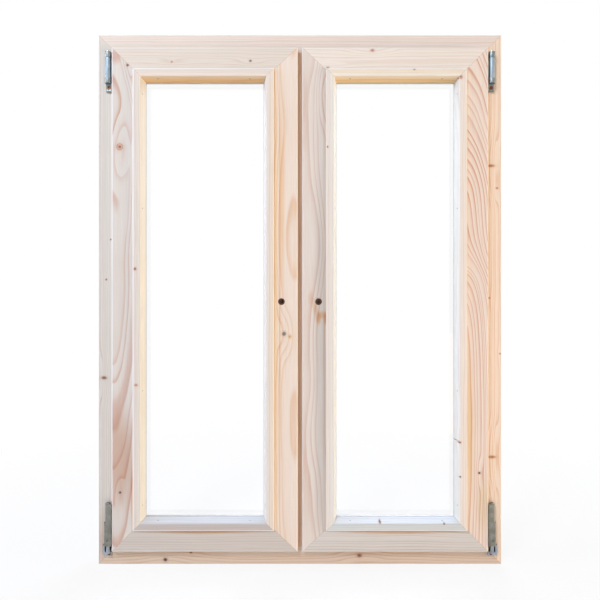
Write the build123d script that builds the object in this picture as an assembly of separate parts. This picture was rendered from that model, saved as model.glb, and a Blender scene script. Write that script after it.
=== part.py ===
"""Two-sash timber casement window, seen and measured from the room side.

X runs to the right as seen from the room, Y out of the room, Z up. The origin is the middle of
the frame's bottom face. Depths called v are measured from the frame's room-side face, towards
the outside; w is measured inwards from the outer edge of the member that it belongs to.
"""

from build123d import *
from collections import namedtuple
from math import atan, cos, pi, radians, sin, tan
import os

# ---- Frame ----------------------------------------------------------------------------------
frame_width = 990.0
frame_height = 1300.0
frame_depth = 68.0
frame_margin = 36.5  # frame face left showing around the sashes
frame_edge_round = 1.5
lip_overlap = 6.0  # the sash lip laps this far over the frame face
first_stop_width = 14.5
first_stop_depth = 28.0
second_stop_width = 11.0
second_stop_depth = 55.0
meeting_gap = 10.5  # between the lips of the two sashes, in front of the mullion

# ---- Sashes ---------------------------------------------------------------------------------
sash_thickness = 68.0
sash_proud = 16.0  # sash face in front of the frame face
lip_width = 18.0
lip_clearance = 1.0  # lip back to frame face
shoulder_width = 6.5
shoulder_clearance = 1.0  # shoulder to the frame's first stop
hinge_stile_width = 79.0
lock_stile_width = 84.0
rail_width = 79.0
glazing_rebate = 20.0
outer_lip_thickness = 22.0
outer_sight_step = 7.0  # the outer lip's edge, back from the bead's sight line
outer_lip_splay = 6.0  # and further back at its outer face
lip_round = 3.0
outer_round = 4.0

# ---- Glazing --------------------------------------------------------------------------------
pane_thickness = 4.0
pane_cavity = 16.0
glass_edge_gap = 5.0  # glass edge to rebate floor, filled by the setting blocks
sealant_depth = 3.5
sealant_gap = 0.1  # sealant to spacer
spacer_depth = 7.0
tape_thickness = 1.0
tape_depth = 7.0
tape_showing = 0.5
block_length = 80.0
block_from_corner = 60.0

# ---- Glazing beads --------------------------------------------------------------------------
bead_overlap = 6.0  # flange over the sash face
bead_proud = 6.0
bead_slant = 7.5  # the bead's reveal narrows by this towards the glass
bead_round = 1.8
bead_gap = 0.2
brad_radius = 0.8
brad_head_radius = 1.3
brad_head_height = 0.8
brad_length = 34.0
brad_depth = 11.0  # behind the bead's face
brad_from_corner = 33.0
brad_pitch = 445.0  # between the two middle brads of a long bead

# ---- Sash gasket ----------------------------------------------------------------------------
gasket_foot_width = 3.0
gasket_foot_depth = 3.6
gasket_foot_inset = 1.6  # from the sash edge
gasket_fin_reach = 4.0  # beyond the sash edge, over the frame's first stop
gasket_fin_gap = 0.15

# ---- Corner joints --------------------------------------------------------------------------
tenon_length = 36.0
tenon_width = 20.0
tenon_thickness = 10.0
tenon_gap = 0.1
sash_tenon_corner = 50.0  # tenon centre from the sash's outer edge
sash_tenon_depth = 12.0
frame_tenon_corner = 32.0
frame_tenon_depth = 41.0
dowel_radius = 6.0
dowel_length = 60.0
dowel_depths = (14.0, 41.0)

# ---- Rain rails on the sill -----------------------------------------------------------------
rail_seat_height = 44.0
rail_wall = 1.6
rail_nose = 3.0  # beyond the frame's outer face
rail_nose_height = 8.0
rail_nose_thickness = 5.0
rail_gap = 0.3
rail_top_land = 3.0

# ---- Hinge line -----------------------------------------------------------------------------
hinge_inset = 26.5  # pin axis from the frame's outer edge
hinge_stand_out = 10.0  # pin axis in front of the frame face
pin_radius = 3.5
pin_clearance = 0.06
play = 0.3  # between faces that pass each other
leaf_thickness = 3.0
leaf_reach = 18.0  # along the sash edge, into the frame
notch_clearance = 0.6
leaf_screw_from_end = 19.0
plate_thickness = 3.0

# ---- Upper hinge ----------------------------------------------------------------------------
upper_hinge_drop = 45.5  # its top end below the top of the frame
upper_knuckle_radius = 7.5
upper_knuckle_height = 14.0
barrel_radius = 6.7
barrel_height = 51.0
lower_knuckle_height = 12.0
tab_height = 18.0
tab_thickness = 5.0
tab_width = 13.0
upper_web_height = 40.0
upper_leaf_height = 92.0
pin_cap_radius = 5.0
pin_cap_height = 2.0
spigot_radius = 3.0
spigot_length = 12.0
spigot_offset = 17.0  # from the middle of the barrel

# ---- Lower hinge ----------------------------------------------------------------------------
pivot_top = 50.0  # above the bottom of the frame
pivot_height = 19.0
pivot_radius = 5.0
pivot_pin_height = 16.0
pivot_plate_height = 28.0
pivot_plate_width = 22.0
adjuster_radius = 3.5
adjuster_offset = 11.0  # from the pin axis, towards the frame's edge
lower_hinge_height = 101.7
wide_part_height = 56.7
wide_part_radius = 9.3
narrow_part_radius = 6.5
lower_hinge_front = 7.5  # in front of the pin axis
flank_inset = 4.0  # the body's flat front, in from its round side
lip_gap = 0.5  # hinge body to the sash lip
lower_web_height = 86.0
corner_leaf_length = 62.0
lower_cap_height = 3.0
lower_cap_radius = 4.5
service_hole_radius = 1.8
service_hole_depth = 2.6
service_hole_height = 14.0

# ---- Lock -----------------------------------------------------------------------------------
lock_height = 645.0  # spindle above the bottom of the frame
lock_backset = 22.0  # spindle from the sash edge
handle_hole_radius = 8.25
faceplate_width = 16.0
faceplate_thickness = 2.5
faceplate_end_gap = 12.0
faceplate_gap = 0.2
lock_depth = 15.0  # middle of the lock behind the frame face
rod_width = 9.0
rod_thickness = 3.0
rod_end_gap = 30.0
rod_travel = 18.0
cam_radius = 3.5
cam_rim_radius = 4.5
cam_rim_height = 1.5
cam_reach = 7.0  # beyond the sash edge
cam_pitch = 260.0
cam_count = 4
slot_clearance = 0.6
face_screw_from_case = 15.0
face_screw_from_end = 5.0
pinion_teeth = 15
pinion_thickness = 8.0
tooth_thinning = 0.72  # tooth thickness as a share of half the pitch
tooth_flank = 20.0  # degrees
addendum_share = 0.85
dedendum_share = 1.25
collar_radius = 6.5
collar_clearance = 0.08
spindle_square = 7.0
case_wall = 2.0
case_half_height = 40.0
case_gap = 0.3
rack_margin = 10.0

# ---- Strikers on the mullion ----------------------------------------------------------------
striker_thickness = 2.5
striker_width = 18.0
striker_length = 44.0
hook_length = 14.0
hook_thickness = 3.5
hook_reach = 6.5

# ---- Screws ---------------------------------------------------------------------------------
screw_gap = 0.05
head_land = 0.3  # straight rim of a countersunk head
recess_share = 0.2  # width of the cross recess, as a share of the head's radius
hinge_screw = dict(head=3.8, sink=2.2, shank=1.9, length=22.0)
plate_screw = dict(head=5.0, sink=2.6, shank=2.4, length=36.0)
lock_screw = dict(head=3.4, sink=1.9, shank=1.6, length=22.0)
striker_screw = dict(head=3.2, sink=1.8, shank=1.5, length=9.0)

# ---- Values that follow ---------------------------------------------------------------------
Rim = namedtuple("Rim", "left right bottom top")
SIDES = ("left", "right", "bottom", "top")


def inset(rim, by):
    return Rim(rim.left + by, rim.right - by, rim.bottom + by, rim.top - by)


def y_at(v):
    return v - frame_depth / 2


through = 4 * max(frame_depth, sash_thickness)  # deep enough to cut through everything
over = 1.0  # how far a cut starts outside the face that it opens

first_wall = frame_margin + lip_overlap
second_wall = first_wall + first_stop_width
third_wall = second_wall + second_stop_width
frame_rim = Rim(-frame_width / 2, frame_width / 2, 0, frame_height)

sash_face = -sash_proud
lip_back = -lip_clearance
shoulder = first_stop_depth - shoulder_clearance
sash_back = sash_thickness - sash_proud
rebate_back = sash_back - outer_lip_thickness
second_edge = lip_width + shoulder_width
sash_rim = Rim(
    frame_rim.left + frame_margin,
    -meeting_gap / 2,
    frame_rim.bottom + frame_margin,
    frame_rim.top - frame_margin,
)
sash_widths = dict(left=hinge_stile_width, right=lock_stile_width, bottom=rail_width, top=rail_width)
sight_rim = Rim(
    sash_rim.left + sash_widths["left"],
    sash_rim.right - sash_widths["right"],
    sash_rim.bottom + sash_widths["bottom"],
    sash_rim.top - sash_widths["top"],
)

unit_back = rebate_back - tape_thickness
unit_front = unit_back - 2 * pane_thickness - pane_cavity
bead_back = unit_front - tape_thickness
bead_face = sash_face - bead_proud
bead_width = glazing_rebate + bead_overlap
glass_rim = inset(sight_rim, glass_edge_gap - glazing_rebate)

hinge_x = frame_rim.left + hinge_inset
hinge_y = y_at(-hinge_stand_out)
edge_x = sash_rim.left + lip_width  # the sash edge that carries the hinge leaves
web_front = -hinge_stand_out + barrel_radius - leaf_thickness
web_back = web_front + leaf_thickness
sash_bottom_edge = sash_rim.bottom + lip_width

upper_top = frame_height - upper_hinge_drop
barrel_top = upper_top - upper_knuckle_height
barrel_bottom = barrel_top - barrel_height
knuckle_bottom = barrel_bottom - lower_knuckle_height
upper_bottom = knuckle_bottom - tab_height
upper_web_middle = (barrel_top + barrel_bottom) / 2

body_bottom = pivot_top + play
body_top = body_bottom + lower_hinge_height
wide_top = body_bottom + wide_part_height
lower_web_top = body_top - play

hub_w = lip_width + lock_backset
hub_x = sash_rim.right - hub_w
rod_front = lip_width + faceplate_thickness + play
rod_back = rod_front + rod_thickness
pitch_radius = rod_travel / (pi / 2)
module = 2 * pitch_radius / pinion_teeth
addendum = addendum_share * module
dedendum = dedendum_share * module
tip_radius = pitch_radius + addendum
cavity_radius = tip_radius + slot_clearance
case_back = hub_w + cavity_radius + case_wall
case_half_depth = rod_width / 2 + slot_clearance + case_wall
faceplate_bottom = sash_bottom_edge + faceplate_end_gap
faceplate_top = sash_rim.top - lip_width - faceplate_end_gap
cam_heights = [lock_height + (i - (cam_count - 1) / 2) * cam_pitch for i in range(cam_count)]

nodes = {}


# ---- Shared forms ---------------------------------------------------------------------------
def block(x0, x1, v0, v1, z0, z1):
    """A box between two corners, given by X, depth and height."""
    size = (abs(x1 - x0), abs(v1 - v0), abs(z1 - z0))
    return Pos((x0 + x1) / 2, y_at((v0 + v1) / 2), (z0 + z1) / 2) * Box(*size)


def slab(rim, v0, v1):
    return block(rim.left, rim.right, v0, v1, rim.bottom, rim.top)


def ring(rim, width, v0, v1):
    """A rectangular ring just inside a rim."""
    return slab(rim, v0, v1) - slab(inset(rim, width), v0 - over, v1 + over)


def upright(x, v, radius, z0, z1):
    return Pos(x, y_at(v), (z0 + z1) / 2) * Cylinder(radius, z1 - z0)


def outward(x, z, radius, v0, v1):
    """A cylinder along Y."""
    return Pos(x, y_at((v0 + v1) / 2), z) * Rot(90, 0, 0) * Cylinder(radius, v1 - v0)


def sideways(v, z, radius, x0, x1):
    """A cylinder along X."""
    return Pos((x0 + x1) / 2, y_at(v), z) * Rot(0, 90, 0) * Cylinder(radius, abs(x1 - x0))


def bar(side, section, rim):
    """A section of (w, v, corner radius) points, drawn out along one side of a rim."""
    outline = FilletPolyline([(w, v) for w, v, _ in section], radius=[r for _, _, r in section], close=True)
    start = {
        "left": ((rim.left, y_at(0), rim.bottom), (1, 0, 0), (0, 0, 1)),
        "right": ((rim.right, y_at(0), rim.top), (-1, 0, 0), (0, 0, -1)),
        "bottom": ((rim.right, y_at(0), rim.bottom), (0, 0, 1), (-1, 0, 0)),
        "top": ((rim.left, y_at(0), rim.top), (0, 0, -1), (1, 0, 0)),
    }[side]
    plane = Plane(origin=start[0], x_dir=start[1], z_dir=start[2])
    length = rim.top - rim.bottom if side in ("left", "right") else rim.right - rim.left
    return extrude(plane * make_face(outline), amount=length)


def mitre(side, outer, inner):
    """The space that one side takes between the mitre lines of its two corners."""
    ends = {
        "left": ("left bottom", "left top"),
        "right": ("right bottom", "right top"),
        "bottom": ("left bottom", "right bottom"),
        "top": ("left top", "right top"),
    }[side]
    corners = [tuple(getattr(rim, edge) for edge in end.split()) for rim in (outer, inner) for end in ends]
    corners = corners[:2] + corners[:1:-1]
    return extrude(Plane.XZ * make_face(Polyline(*corners, close=True)), amount=through, both=True)


def loose_tenon(x, z, v, turn, gap=0.0):
    size = (tenon_length + 2 * gap, tenon_thickness + 2 * gap, tenon_width + 2 * gap)
    return Pos(x, y_at(v), z) * Rot(0, turn, 0) * Box(*size)


def screw_form(size, gap=0.0, recess=True):
    """A countersunk wood screw with its head's face at the origin, pointing down Z."""
    head, sink, shank, length = size["head"] + gap, size["sink"], size["shank"] + gap, size["length"] + gap
    tip = 2 * size["shank"]
    outline = Polyline(
        (0, gap),
        (head, gap),
        (head, -head_land),
        (shank, -sink - head_land),
        (shank, -length + tip),
        (0, -length),
        close=True,
    )
    form = revolve(Plane.XZ * make_face(outline), Axis.Z)
    if recess:
        slot = recess_share * head
        form -= Box(head, slot, sink) + Box(slot, head, sink)
    return form


def screws(size, places):
    """Screws at places, and the holes that take them."""
    made = [place * screw_form(size) for place in places]
    holes = [place * screw_form(size, gap=screw_gap, recess=False) for place in places]
    return made, holes


def into_wall(x, v, z):
    """A place on a face that looks to -Y, with the screw driven along +Y."""
    return Pos(x, y_at(v), z) * Rot(90, 0, 0)


def into_plus_x(x, v, z):
    return Pos(x, y_at(v), z) * Rot(0, -90, 0)


def into_minus_x(x, v, z):
    return Pos(x, y_at(v), z) * Rot(0, 90, 0)


def mirrored(shape):
    return mirror(shape, about=Plane.YZ)


def less(shape, cuts):
    for cut in cuts:
        shape = shape - cut
    return shape


# ---- Frame members --------------------------------------------------------------------------
frame_section = [
    (0, 0, frame_edge_round),
    (first_wall, 0, 0),
    (first_wall, first_stop_depth, 0),
    (second_wall, first_stop_depth, 0),
    (second_wall, second_stop_depth, 0),
    (third_wall, second_stop_depth, 0),
    (third_wall, frame_depth, 0),
    (0, frame_depth, frame_edge_round),
]
frame_inner = inset(frame_rim, third_wall)
frame_members = {
    side: bar(side, frame_section, frame_rim) & mitre(side, frame_rim, frame_inner) for side in SIDES
}

frame_tenons = []
for x_sign in (-1, 1):
    for bottom in (True, False):
        x = x_sign * (frame_width / 2 - frame_tenon_corner)
        z = frame_tenon_corner if bottom else frame_height - frame_tenon_corner
        turn = 45 * x_sign * (-1 if bottom else 1)
        frame_tenons.append((x, z, frame_tenon_depth, turn))
for side in SIDES:
    frame_members[side] = less(frame_members[side], [loose_tenon(*t, gap=tenon_gap) for t in frame_tenons])

mullion_steps = (
    (first_wall, 0, first_stop_depth),
    (second_wall, first_stop_depth, second_stop_depth),
    (third_wall, second_stop_depth, frame_depth),
)
mullion = None
for wall, v0, v1 in mullion_steps:
    half = wall - frame_margin + meeting_gap / 2
    step = block(-half, half, v0, v1, wall, frame_height - wall)
    mullion = step if mullion is None else mullion + step

dowels, dowel_holes = [], []
for v in dowel_depths:
    wall = first_wall if v < first_stop_depth else second_wall
    for z in (wall, frame_height - wall):
        dowels.append(upright(0, v, dowel_radius, z - dowel_length / 2, z + dowel_length / 2))
        dowel_holes.append(
            upright(
                0,
                v,
                dowel_radius + tenon_gap,
                z - dowel_length / 2 - tenon_gap,
                z + dowel_length / 2 + tenon_gap,
            )
        )
mullion = less(mullion, dowel_holes)
for side in ("bottom", "top"):
    frame_members[side] = less(frame_members[side], dowel_holes)

# ---- Rain rails, let into the sill's outer step between jambs and mullion ---------------------
rail_left = frame_inner.left
rail_right = -(third_wall - frame_margin + meeting_gap / 2)
rail_seat = block(rail_left, rail_right, second_stop_depth, frame_depth + 1, rail_seat_height, third_wall + 1)
frame_members["bottom"] = less(frame_members["bottom"], [rail_seat, mirrored(rail_seat)])

rail_foot_v = second_stop_depth + rail_gap
rail_bottom_z = rail_seat_height + rail_gap
rail_top_z = third_wall - rail_gap
nose_v = frame_depth + rail_nose
nose_top = rail_top_z - rail_nose_height
rail_outline = [
    (rail_bottom_z, rail_foot_v),
    (rail_top_z, rail_foot_v),
    (rail_top_z, rail_foot_v + rail_top_land),
    (nose_top, nose_v),
    (nose_top - rail_nose_thickness, nose_v),
    (nose_top - rail_nose_thickness, frame_depth - rail_gap),
    (rail_bottom_z, frame_depth - rail_gap),
]
rail_face = make_face(Polyline(*[(z, v) for z, v in rail_outline], close=True))
rail_hollow = offset(rail_face, amount=-rail_wall, kind=Kind.INTERSECTION)
rail_plane = Plane(origin=(rail_right - rail_gap, y_at(0), 0), x_dir=(0, 0, 1), z_dir=(-1, 0, 0))
rail_length = rail_right - rail_left - 2 * rail_gap
rain_rail = extrude(rail_plane * (rail_face - rail_hollow), amount=rail_length)

# ---- Upper hinge: bearing on the frame, pin, arm on the sash ----------------------------------
plate_half = upper_knuckle_radius
bearing = block(hinge_x - plate_half, hinge_x + plate_half, -plate_thickness, 0, upper_bottom, upper_top)
for z0, z1 in ((barrel_top, upper_top), (knuckle_bottom, barrel_bottom)):
    bearing += upright(hinge_x, -hinge_stand_out, upper_knuckle_radius, z0, z1)
    bearing += block(hinge_x - plate_half, hinge_x + plate_half, -hinge_stand_out, -plate_thickness, z0, z1)
bearing += block(
    hinge_x - tab_width / 2, hinge_x + tab_width / 2, -tab_thickness, 0, upper_bottom, knuckle_bottom
)
spigot_heights = [upper_web_middle + s * spigot_offset for s in (-1, 1)]
for z in spigot_heights:
    bearing += outward(hinge_x, z, spigot_radius, -plate_thickness / 2, spigot_length)
bearing -= upright(hinge_x, -hinge_stand_out, pin_radius + pin_clearance, knuckle_bottom - over, upper_top + over)
hinge_pin = upright(hinge_x, -hinge_stand_out, pin_radius, knuckle_bottom, upper_top)
hinge_pin += upright(hinge_x, -hinge_stand_out, pin_cap_radius, upper_top, upper_top + pin_cap_height)
spigot_holes = [
    outward(hinge_x, z, spigot_radius + tenon_gap, -over, spigot_length + tenon_gap) for z in spigot_heights
]


def leaf(web_z0, web_z1, leaf_z0, leaf_z1):
    """The part of a hinge that reaches through the lip's notch and lies along the sash edge."""
    web = block(hinge_x, edge_x, web_front, web_back, web_z0, web_z1)
    riser = block(edge_x - leaf_thickness, edge_x, web_front, 0, web_z0, web_z1)
    return web + riser + block(edge_x - leaf_thickness, edge_x, 0, leaf_reach, leaf_z0, leaf_z1)


def lip_notch(web_z0, web_z1):
    return block(
        sash_rim.left - over,
        edge_x,
        web_front - notch_clearance,
        lip_back + over,
        web_z0 - notch_clearance,
        web_z1 + notch_clearance,
    )


upper_web = (upper_web_middle - upper_web_height / 2, upper_web_middle + upper_web_height / 2)
upper_leaf_top = upper_web[1]
upper_leaf = (upper_leaf_top - upper_leaf_height, upper_leaf_top)
upper_arm = upright(hinge_x, -hinge_stand_out, barrel_radius, barrel_bottom + play, barrel_top - play)
upper_arm += leaf(*upper_web, *upper_leaf)
upper_arm -= upright(hinge_x, -hinge_stand_out, pin_radius + pin_clearance, barrel_bottom, barrel_top)

# ---- Lower hinge: pivot rest on the frame, corner hinge on the sash ---------------------------
pivot_bottom = pivot_top - pivot_height
plate_left = hinge_x - adjuster_offset - adjuster_radius
pivot_rest = block(
    plate_left, plate_left + pivot_plate_width, -plate_thickness, 0, pivot_top - pivot_plate_height, pivot_top
)
pivot_rest += upright(hinge_x, -hinge_stand_out, pivot_radius, pivot_bottom, pivot_top)
pivot_rest += block(
    hinge_x - pivot_radius,
    hinge_x + pivot_radius,
    -hinge_stand_out,
    -plate_thickness,
    pivot_bottom,
    pivot_top,
)
pivot_rest += upright(hinge_x, -hinge_stand_out, pin_radius, pivot_top, pivot_top + pivot_pin_height)
adjuster_x = hinge_x - adjuster_offset
adjuster_v = -plate_thickness - adjuster_radius
pivot_rest += upright(adjuster_x, adjuster_v, adjuster_radius, pivot_bottom, pivot_top)
pivot_rest += block(
    adjuster_x - adjuster_radius / 2,
    adjuster_x + adjuster_radius / 2,
    adjuster_v,
    -plate_thickness,
    pivot_bottom,
    pivot_top,
)

body_reach = frame_margin - hinge_inset - lip_gap


def lower_body(radius, z0, z1):
    """A length of the corner hinge: round behind the pin, flat in front, square to the lip."""
    round_part = upright(hinge_x, -hinge_stand_out, radius, z0, z1)
    front_limit = block(
        hinge_x - 2 * radius,
        hinge_x + body_reach,
        -hinge_stand_out - lower_hinge_front,
        0,
        z0,
        z1,
    )
    square_part = block(
        hinge_x,
        hinge_x + body_reach,
        -hinge_stand_out - lower_hinge_front,
        -hinge_stand_out + narrow_part_radius,
        z0,
        z1,
    )
    flank = block(
        hinge_x - radius + flank_inset,
        hinge_x,
        -hinge_stand_out - lower_hinge_front,
        -hinge_stand_out,
        z0,
        z1,
    )
    return (round_part & front_limit) + square_part + flank


lower_web = (lower_web_top - lower_web_height, lower_web_top)
lower_hinge = lower_body(wide_part_radius, body_bottom, wide_top)
lower_hinge += lower_body(narrow_part_radius, wide_top, body_top)
lower_hinge += upright(hinge_x, -hinge_stand_out, lower_cap_radius, body_top, body_top + lower_cap_height)
lower_hinge += leaf(*lower_web, sash_bottom_edge, lower_web_top)
corner_leaf = (edge_x - leaf_thickness, edge_x + corner_leaf_length, 0, leaf_reach)
lower_hinge += block(*corner_leaf, sash_bottom_edge - leaf_thickness, sash_bottom_edge)
corner_leaf_room = block(*corner_leaf, sash_rim.bottom, sash_bottom_edge)
lower_hinge -= upright(
    hinge_x,
    -hinge_stand_out,
    pin_radius + pin_clearance,
    body_bottom - over,
    pivot_top + pivot_pin_height + play,
)
lower_front = -hinge_stand_out - lower_hinge_front
lower_hinge -= outward(
    hinge_x,
    body_bottom + service_hole_height,
    service_hole_radius,
    lower_front - over,
    lower_front + service_hole_depth,
)

# ---- Lock: faceplate, case, pinion, rod with its riveted rack and cams ---------------------------
v_lock = lock_depth


def lock_block(w0, w1, half_v, z0, z1):
    """A box in the lock stile, given by its distance from the sash's outer edge."""
    return block(sash_rim.right - w0, sash_rim.right - w1, v_lock - half_v, v_lock + half_v, z0, z1)


faceplate_back = lip_width + faceplate_thickness
faceplate = lock_block(lip_width, faceplate_back, faceplate_width / 2, faceplate_bottom, faceplate_top)
slot_half = cam_rim_radius + slot_clearance
for z in cam_heights:
    faceplate -= lock_block(
        lip_width - over, faceplate_back + over, slot_half, z - slot_half, z + rod_travel + slot_half
    )

rod_bottom = faceplate_bottom + rod_end_gap
rod_top = faceplate_top - rod_end_gap
rod = lock_block(rod_front, rod_back, rod_width / 2, rod_bottom, rod_top)
cam_tip_x = sash_rim.right - lip_width + cam_reach
cams = []
for z in cam_heights:
    pin = sideways(v_lock, z, cam_radius, cam_tip_x, sash_rim.right - rod_front)
    cams.append(pin + sideways(v_lock, z, cam_rim_radius, cam_tip_x, cam_tip_x - cam_rim_height))


def tooth(pitch_width):
    """A tooth's outline, pointing to +Y from its pitch line at y=0."""
    lean = tan(radians(tooth_flank))
    half = pitch_width / 2
    return Polyline(
        (-half - dedendum * lean, -dedendum),
        (half + dedendum * lean, -dedendum),
        (half - addendum * lean, addendum),
        (-half + addendum * lean, addendum),
        close=True,
    )


pitch = pi * module
tooth_width = tooth_thinning * pitch / 2
tooth_face = make_face(tooth(tooth_width))
root_radius = pitch_radius - dedendum
pinion_sketch = Circle(root_radius)
for i in range(pinion_teeth):
    turn = 360 * (i + 0.5) / pinion_teeth
    pinion_sketch += Rot(0, 0, turn) * Pos(0, pitch_radius) * tooth_face
pinion_plane = Plane(origin=(hub_x, y_at(v_lock), lock_height), x_dir=(0, 0, 1), z_dir=(0, 1, 0))
follower = extrude(pinion_plane * pinion_sketch, amount=pinion_thickness / 2, both=True)
follower += outward(hub_x, lock_height, collar_radius, v_lock - case_half_depth, v_lock + case_half_depth)
follower -= Pos(hub_x, y_at(v_lock), lock_height) * Box(spindle_square, 4 * case_half_depth, spindle_square)

rack_top = lock_height + rack_margin
rack_bottom = lock_height - rod_travel - rack_margin
rack_root = hub_w - pitch_radius - dedendum
rack_pitch_x = sash_rim.right - (hub_w - pitch_radius)
rack = lock_block(rod_back, rack_root, pinion_thickness / 2, rack_bottom, rack_top)
rack_plane = Plane(origin=(rack_pitch_x, y_at(v_lock), lock_height), x_dir=(0, 0, 1), z_dir=(0, -1, 0))
first_tooth = int((rack_bottom - lock_height) / pitch)
last_tooth = int((rack_top - lock_height) / pitch)
for i in range(first_tooth, last_tooth + 1):
    rack += extrude(rack_plane * (Pos(i * pitch, 0) * tooth_face), amount=pinion_thickness / 2, both=True)

case = lock_block(
    faceplate_back, case_back, case_half_depth, lock_height - case_half_height, lock_height + case_half_height
)
channel_half = case_half_depth - case_wall
case -= lock_block(
    faceplate_back - over,
    rod_back + play,
    channel_half,
    lock_height - 2 * case_half_height,
    lock_height + 2 * case_half_height,
)
rack_room = rod_travel + rack_margin + pitch / 2
case -= lock_block(
    faceplate_back - over,
    hub_w - pitch_radius + addendum + slot_clearance,
    channel_half,
    lock_height - rack_room,
    lock_height + rack_room,
)
case -= outward(hub_x, lock_height, cavity_radius, v_lock - channel_half, v_lock + channel_half)
case -= outward(hub_x, lock_height, collar_radius + collar_clearance, v_lock - through, v_lock + through)

case_pocket = lock_block(
    lip_width - over,
    case_back + case_gap,
    case_half_depth + case_gap,
    lock_height - case_half_height - case_gap,
    lock_height + case_half_height + case_gap,
)
faceplate_groove = lock_block(
    lip_width - over,
    faceplate_back,
    faceplate_width / 2 + faceplate_gap,
    faceplate_bottom - faceplate_gap,
    faceplate_top + faceplate_gap,
)
rod_groove = lock_block(
    lip_width,
    rod_back + play,
    rod_width / 2 + slot_clearance,
    rod_bottom - rod_travel / 2,
    rod_top + rod_travel + play,
)
handle_hole = outward(hub_x, lock_height, handle_hole_radius, sash_face - over, v_lock)

# ---- Strikers, screwed to the mullion beside the locked cams -----------------------------------
mullion_x = -(first_wall - frame_margin + meeting_gap / 2)
striker_front = mullion_x - striker_thickness
striker_plates, hooks, striker_places = [], [], []
hook_v1 = v_lock - cam_rim_radius - slot_clearance
for z in [h + rod_travel for h in cam_heights]:
    plate = block(
        mullion_x,
        striker_front,
        v_lock - striker_width / 2,
        v_lock + striker_width / 2,
        z - striker_length / 2,
        z + striker_length / 2,
    )
    hook = block(
        striker_front,
        striker_front - hook_reach,
        hook_v1 - hook_thickness,
        hook_v1,
        z - hook_length / 2,
        z + hook_length / 2,
    )
    striker_plates.append(plate)
    hooks.append(hook)
    for s in (-1, 1):
        screw_z = z + s * (striker_length / 2 - 2 * striker_screw["head"])
        striker_places.append(into_plus_x(striker_front, v_lock, screw_z))

striker_screws, striker_holes = screws(striker_screw, striker_places)
strikers = [less(plate, striker_holes) for plate in striker_plates] + hooks

# ---- Screws on the frame ------------------------------------------------------------------------
bearing_screws, bearing_holes = screws(
    plate_screw, [into_wall(hinge_x, -tab_thickness, (upper_bottom + knuckle_bottom) / 2)]
)
pivot_screws, pivot_holes = screws(
    hinge_screw,
    [into_wall(hinge_x, -plate_thickness, (pivot_bottom + pivot_top - pivot_plate_height) / 2 + play)],
)
bearing = less(bearing, bearing_holes)
pivot_rest = less(pivot_rest, pivot_holes)

# ---- Frame nodes ----------------------------------------------------------------------------------
jamb = less(frame_members["left"], bearing_holes + pivot_holes + spigot_holes)
jamb_other = mirrored(jamb)
nodes["frame_jamb_left"] = jamb
nodes["frame_jamb_right"] = jamb_other
nodes["frame_head"] = frame_members["top"]
sill_holes = pivot_holes + [mirrored(h) for h in pivot_holes]
nodes["frame_sill"] = less(frame_members["bottom"], sill_holes)
both_striker_holes = striker_holes + [mirrored(h) for h in striker_holes]
nodes["frame_mullion"] = less(mullion, both_striker_holes)
nodes["frame_corner_tenons"] = [loose_tenon(*t) for t in frame_tenons]
nodes["mullion_dowels"] = dowels
nodes["rain_rails"] = [rain_rail, mirrored(rain_rail)]
nodes["upper_bearing_left"] = bearing
nodes["upper_bearing_right"] = mirrored(bearing)
nodes["upper_hinge_pins"] = [hinge_pin, mirrored(hinge_pin)]
nodes["pivot_rest_left"] = pivot_rest
nodes["pivot_rest_right"] = mirrored(pivot_rest)
nodes["lock_strikers"] = strikers + [mirrored(s) for s in strikers]
frame_screws = striker_screws + bearing_screws + pivot_screws
nodes["frame_hardware_screws"] = frame_screws + [mirrored(s) for s in frame_screws]


# ---- Sash members -----------------------------------------------------------------------------------
def sash_section(width):
    return [
        (0, sash_face, lip_round),
        (width - glazing_rebate, sash_face, 0),
        (width - glazing_rebate, rebate_back, 0),
        (width - outer_sight_step, rebate_back, 0),
        (width - outer_sight_step - outer_lip_splay, sash_back, outer_round),
        (second_edge, sash_back, 1),
        (second_edge, shoulder, 0),
        (lip_width, shoulder, 0),
        (lip_width, lip_back, 0),
        (0, lip_back, 0),
    ]


sash_members = {
    side: bar(side, sash_section(sash_widths[side]), sash_rim) & mitre(side, sash_rim, sight_rim)
    for side in SIDES
}

sash_tenons = []
for x_side in ("left", "right"):
    for z_side in ("bottom", "top"):
        inwards = 1 if x_side == "left" else -1
        upwards = 1 if z_side == "bottom" else -1
        x = getattr(sash_rim, x_side) + inwards * sash_tenon_corner
        lean = sash_widths[z_side] / sash_widths[x_side]
        z = getattr(sash_rim, z_side) + upwards * sash_tenon_corner * lean
        sash_tenons.append((x, z, sash_tenon_depth, 45 * inwards * upwards))
tenon_holes = [loose_tenon(*t, gap=tenon_gap) for t in sash_tenons]

# Gasket around the sash, in a groove in its shoulder.
gasket_rim = inset(sash_rim, lip_width + gasket_foot_inset)
gasket_foot = ring(gasket_rim, gasket_foot_width, shoulder - gasket_foot_depth, shoulder)
fin_rim = inset(sash_rim, lip_width - gasket_fin_reach)
fin_width = gasket_fin_reach + gasket_foot_inset + gasket_foot_width
gasket = gasket_foot + ring(fin_rim, fin_width, shoulder, first_stop_depth - gasket_fin_gap)

# Hinge leaves, with three screws each into the hinge stile's edge.
leaf_v = leaf_reach / 2
hinge_places = []
for z0, z1 in (upper_leaf, (sash_bottom_edge, lower_web_top)):
    for z in (z0 + leaf_screw_from_end, (z0 + z1) / 2, z1 - leaf_screw_from_end):
        hinge_places.append(into_plus_x(edge_x - leaf_thickness, leaf_v, z))
leaf_screws, leaf_holes = screws(hinge_screw, hinge_places)
upper_arm = less(upper_arm, leaf_holes)
lower_hinge = less(lower_hinge, leaf_holes)

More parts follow.
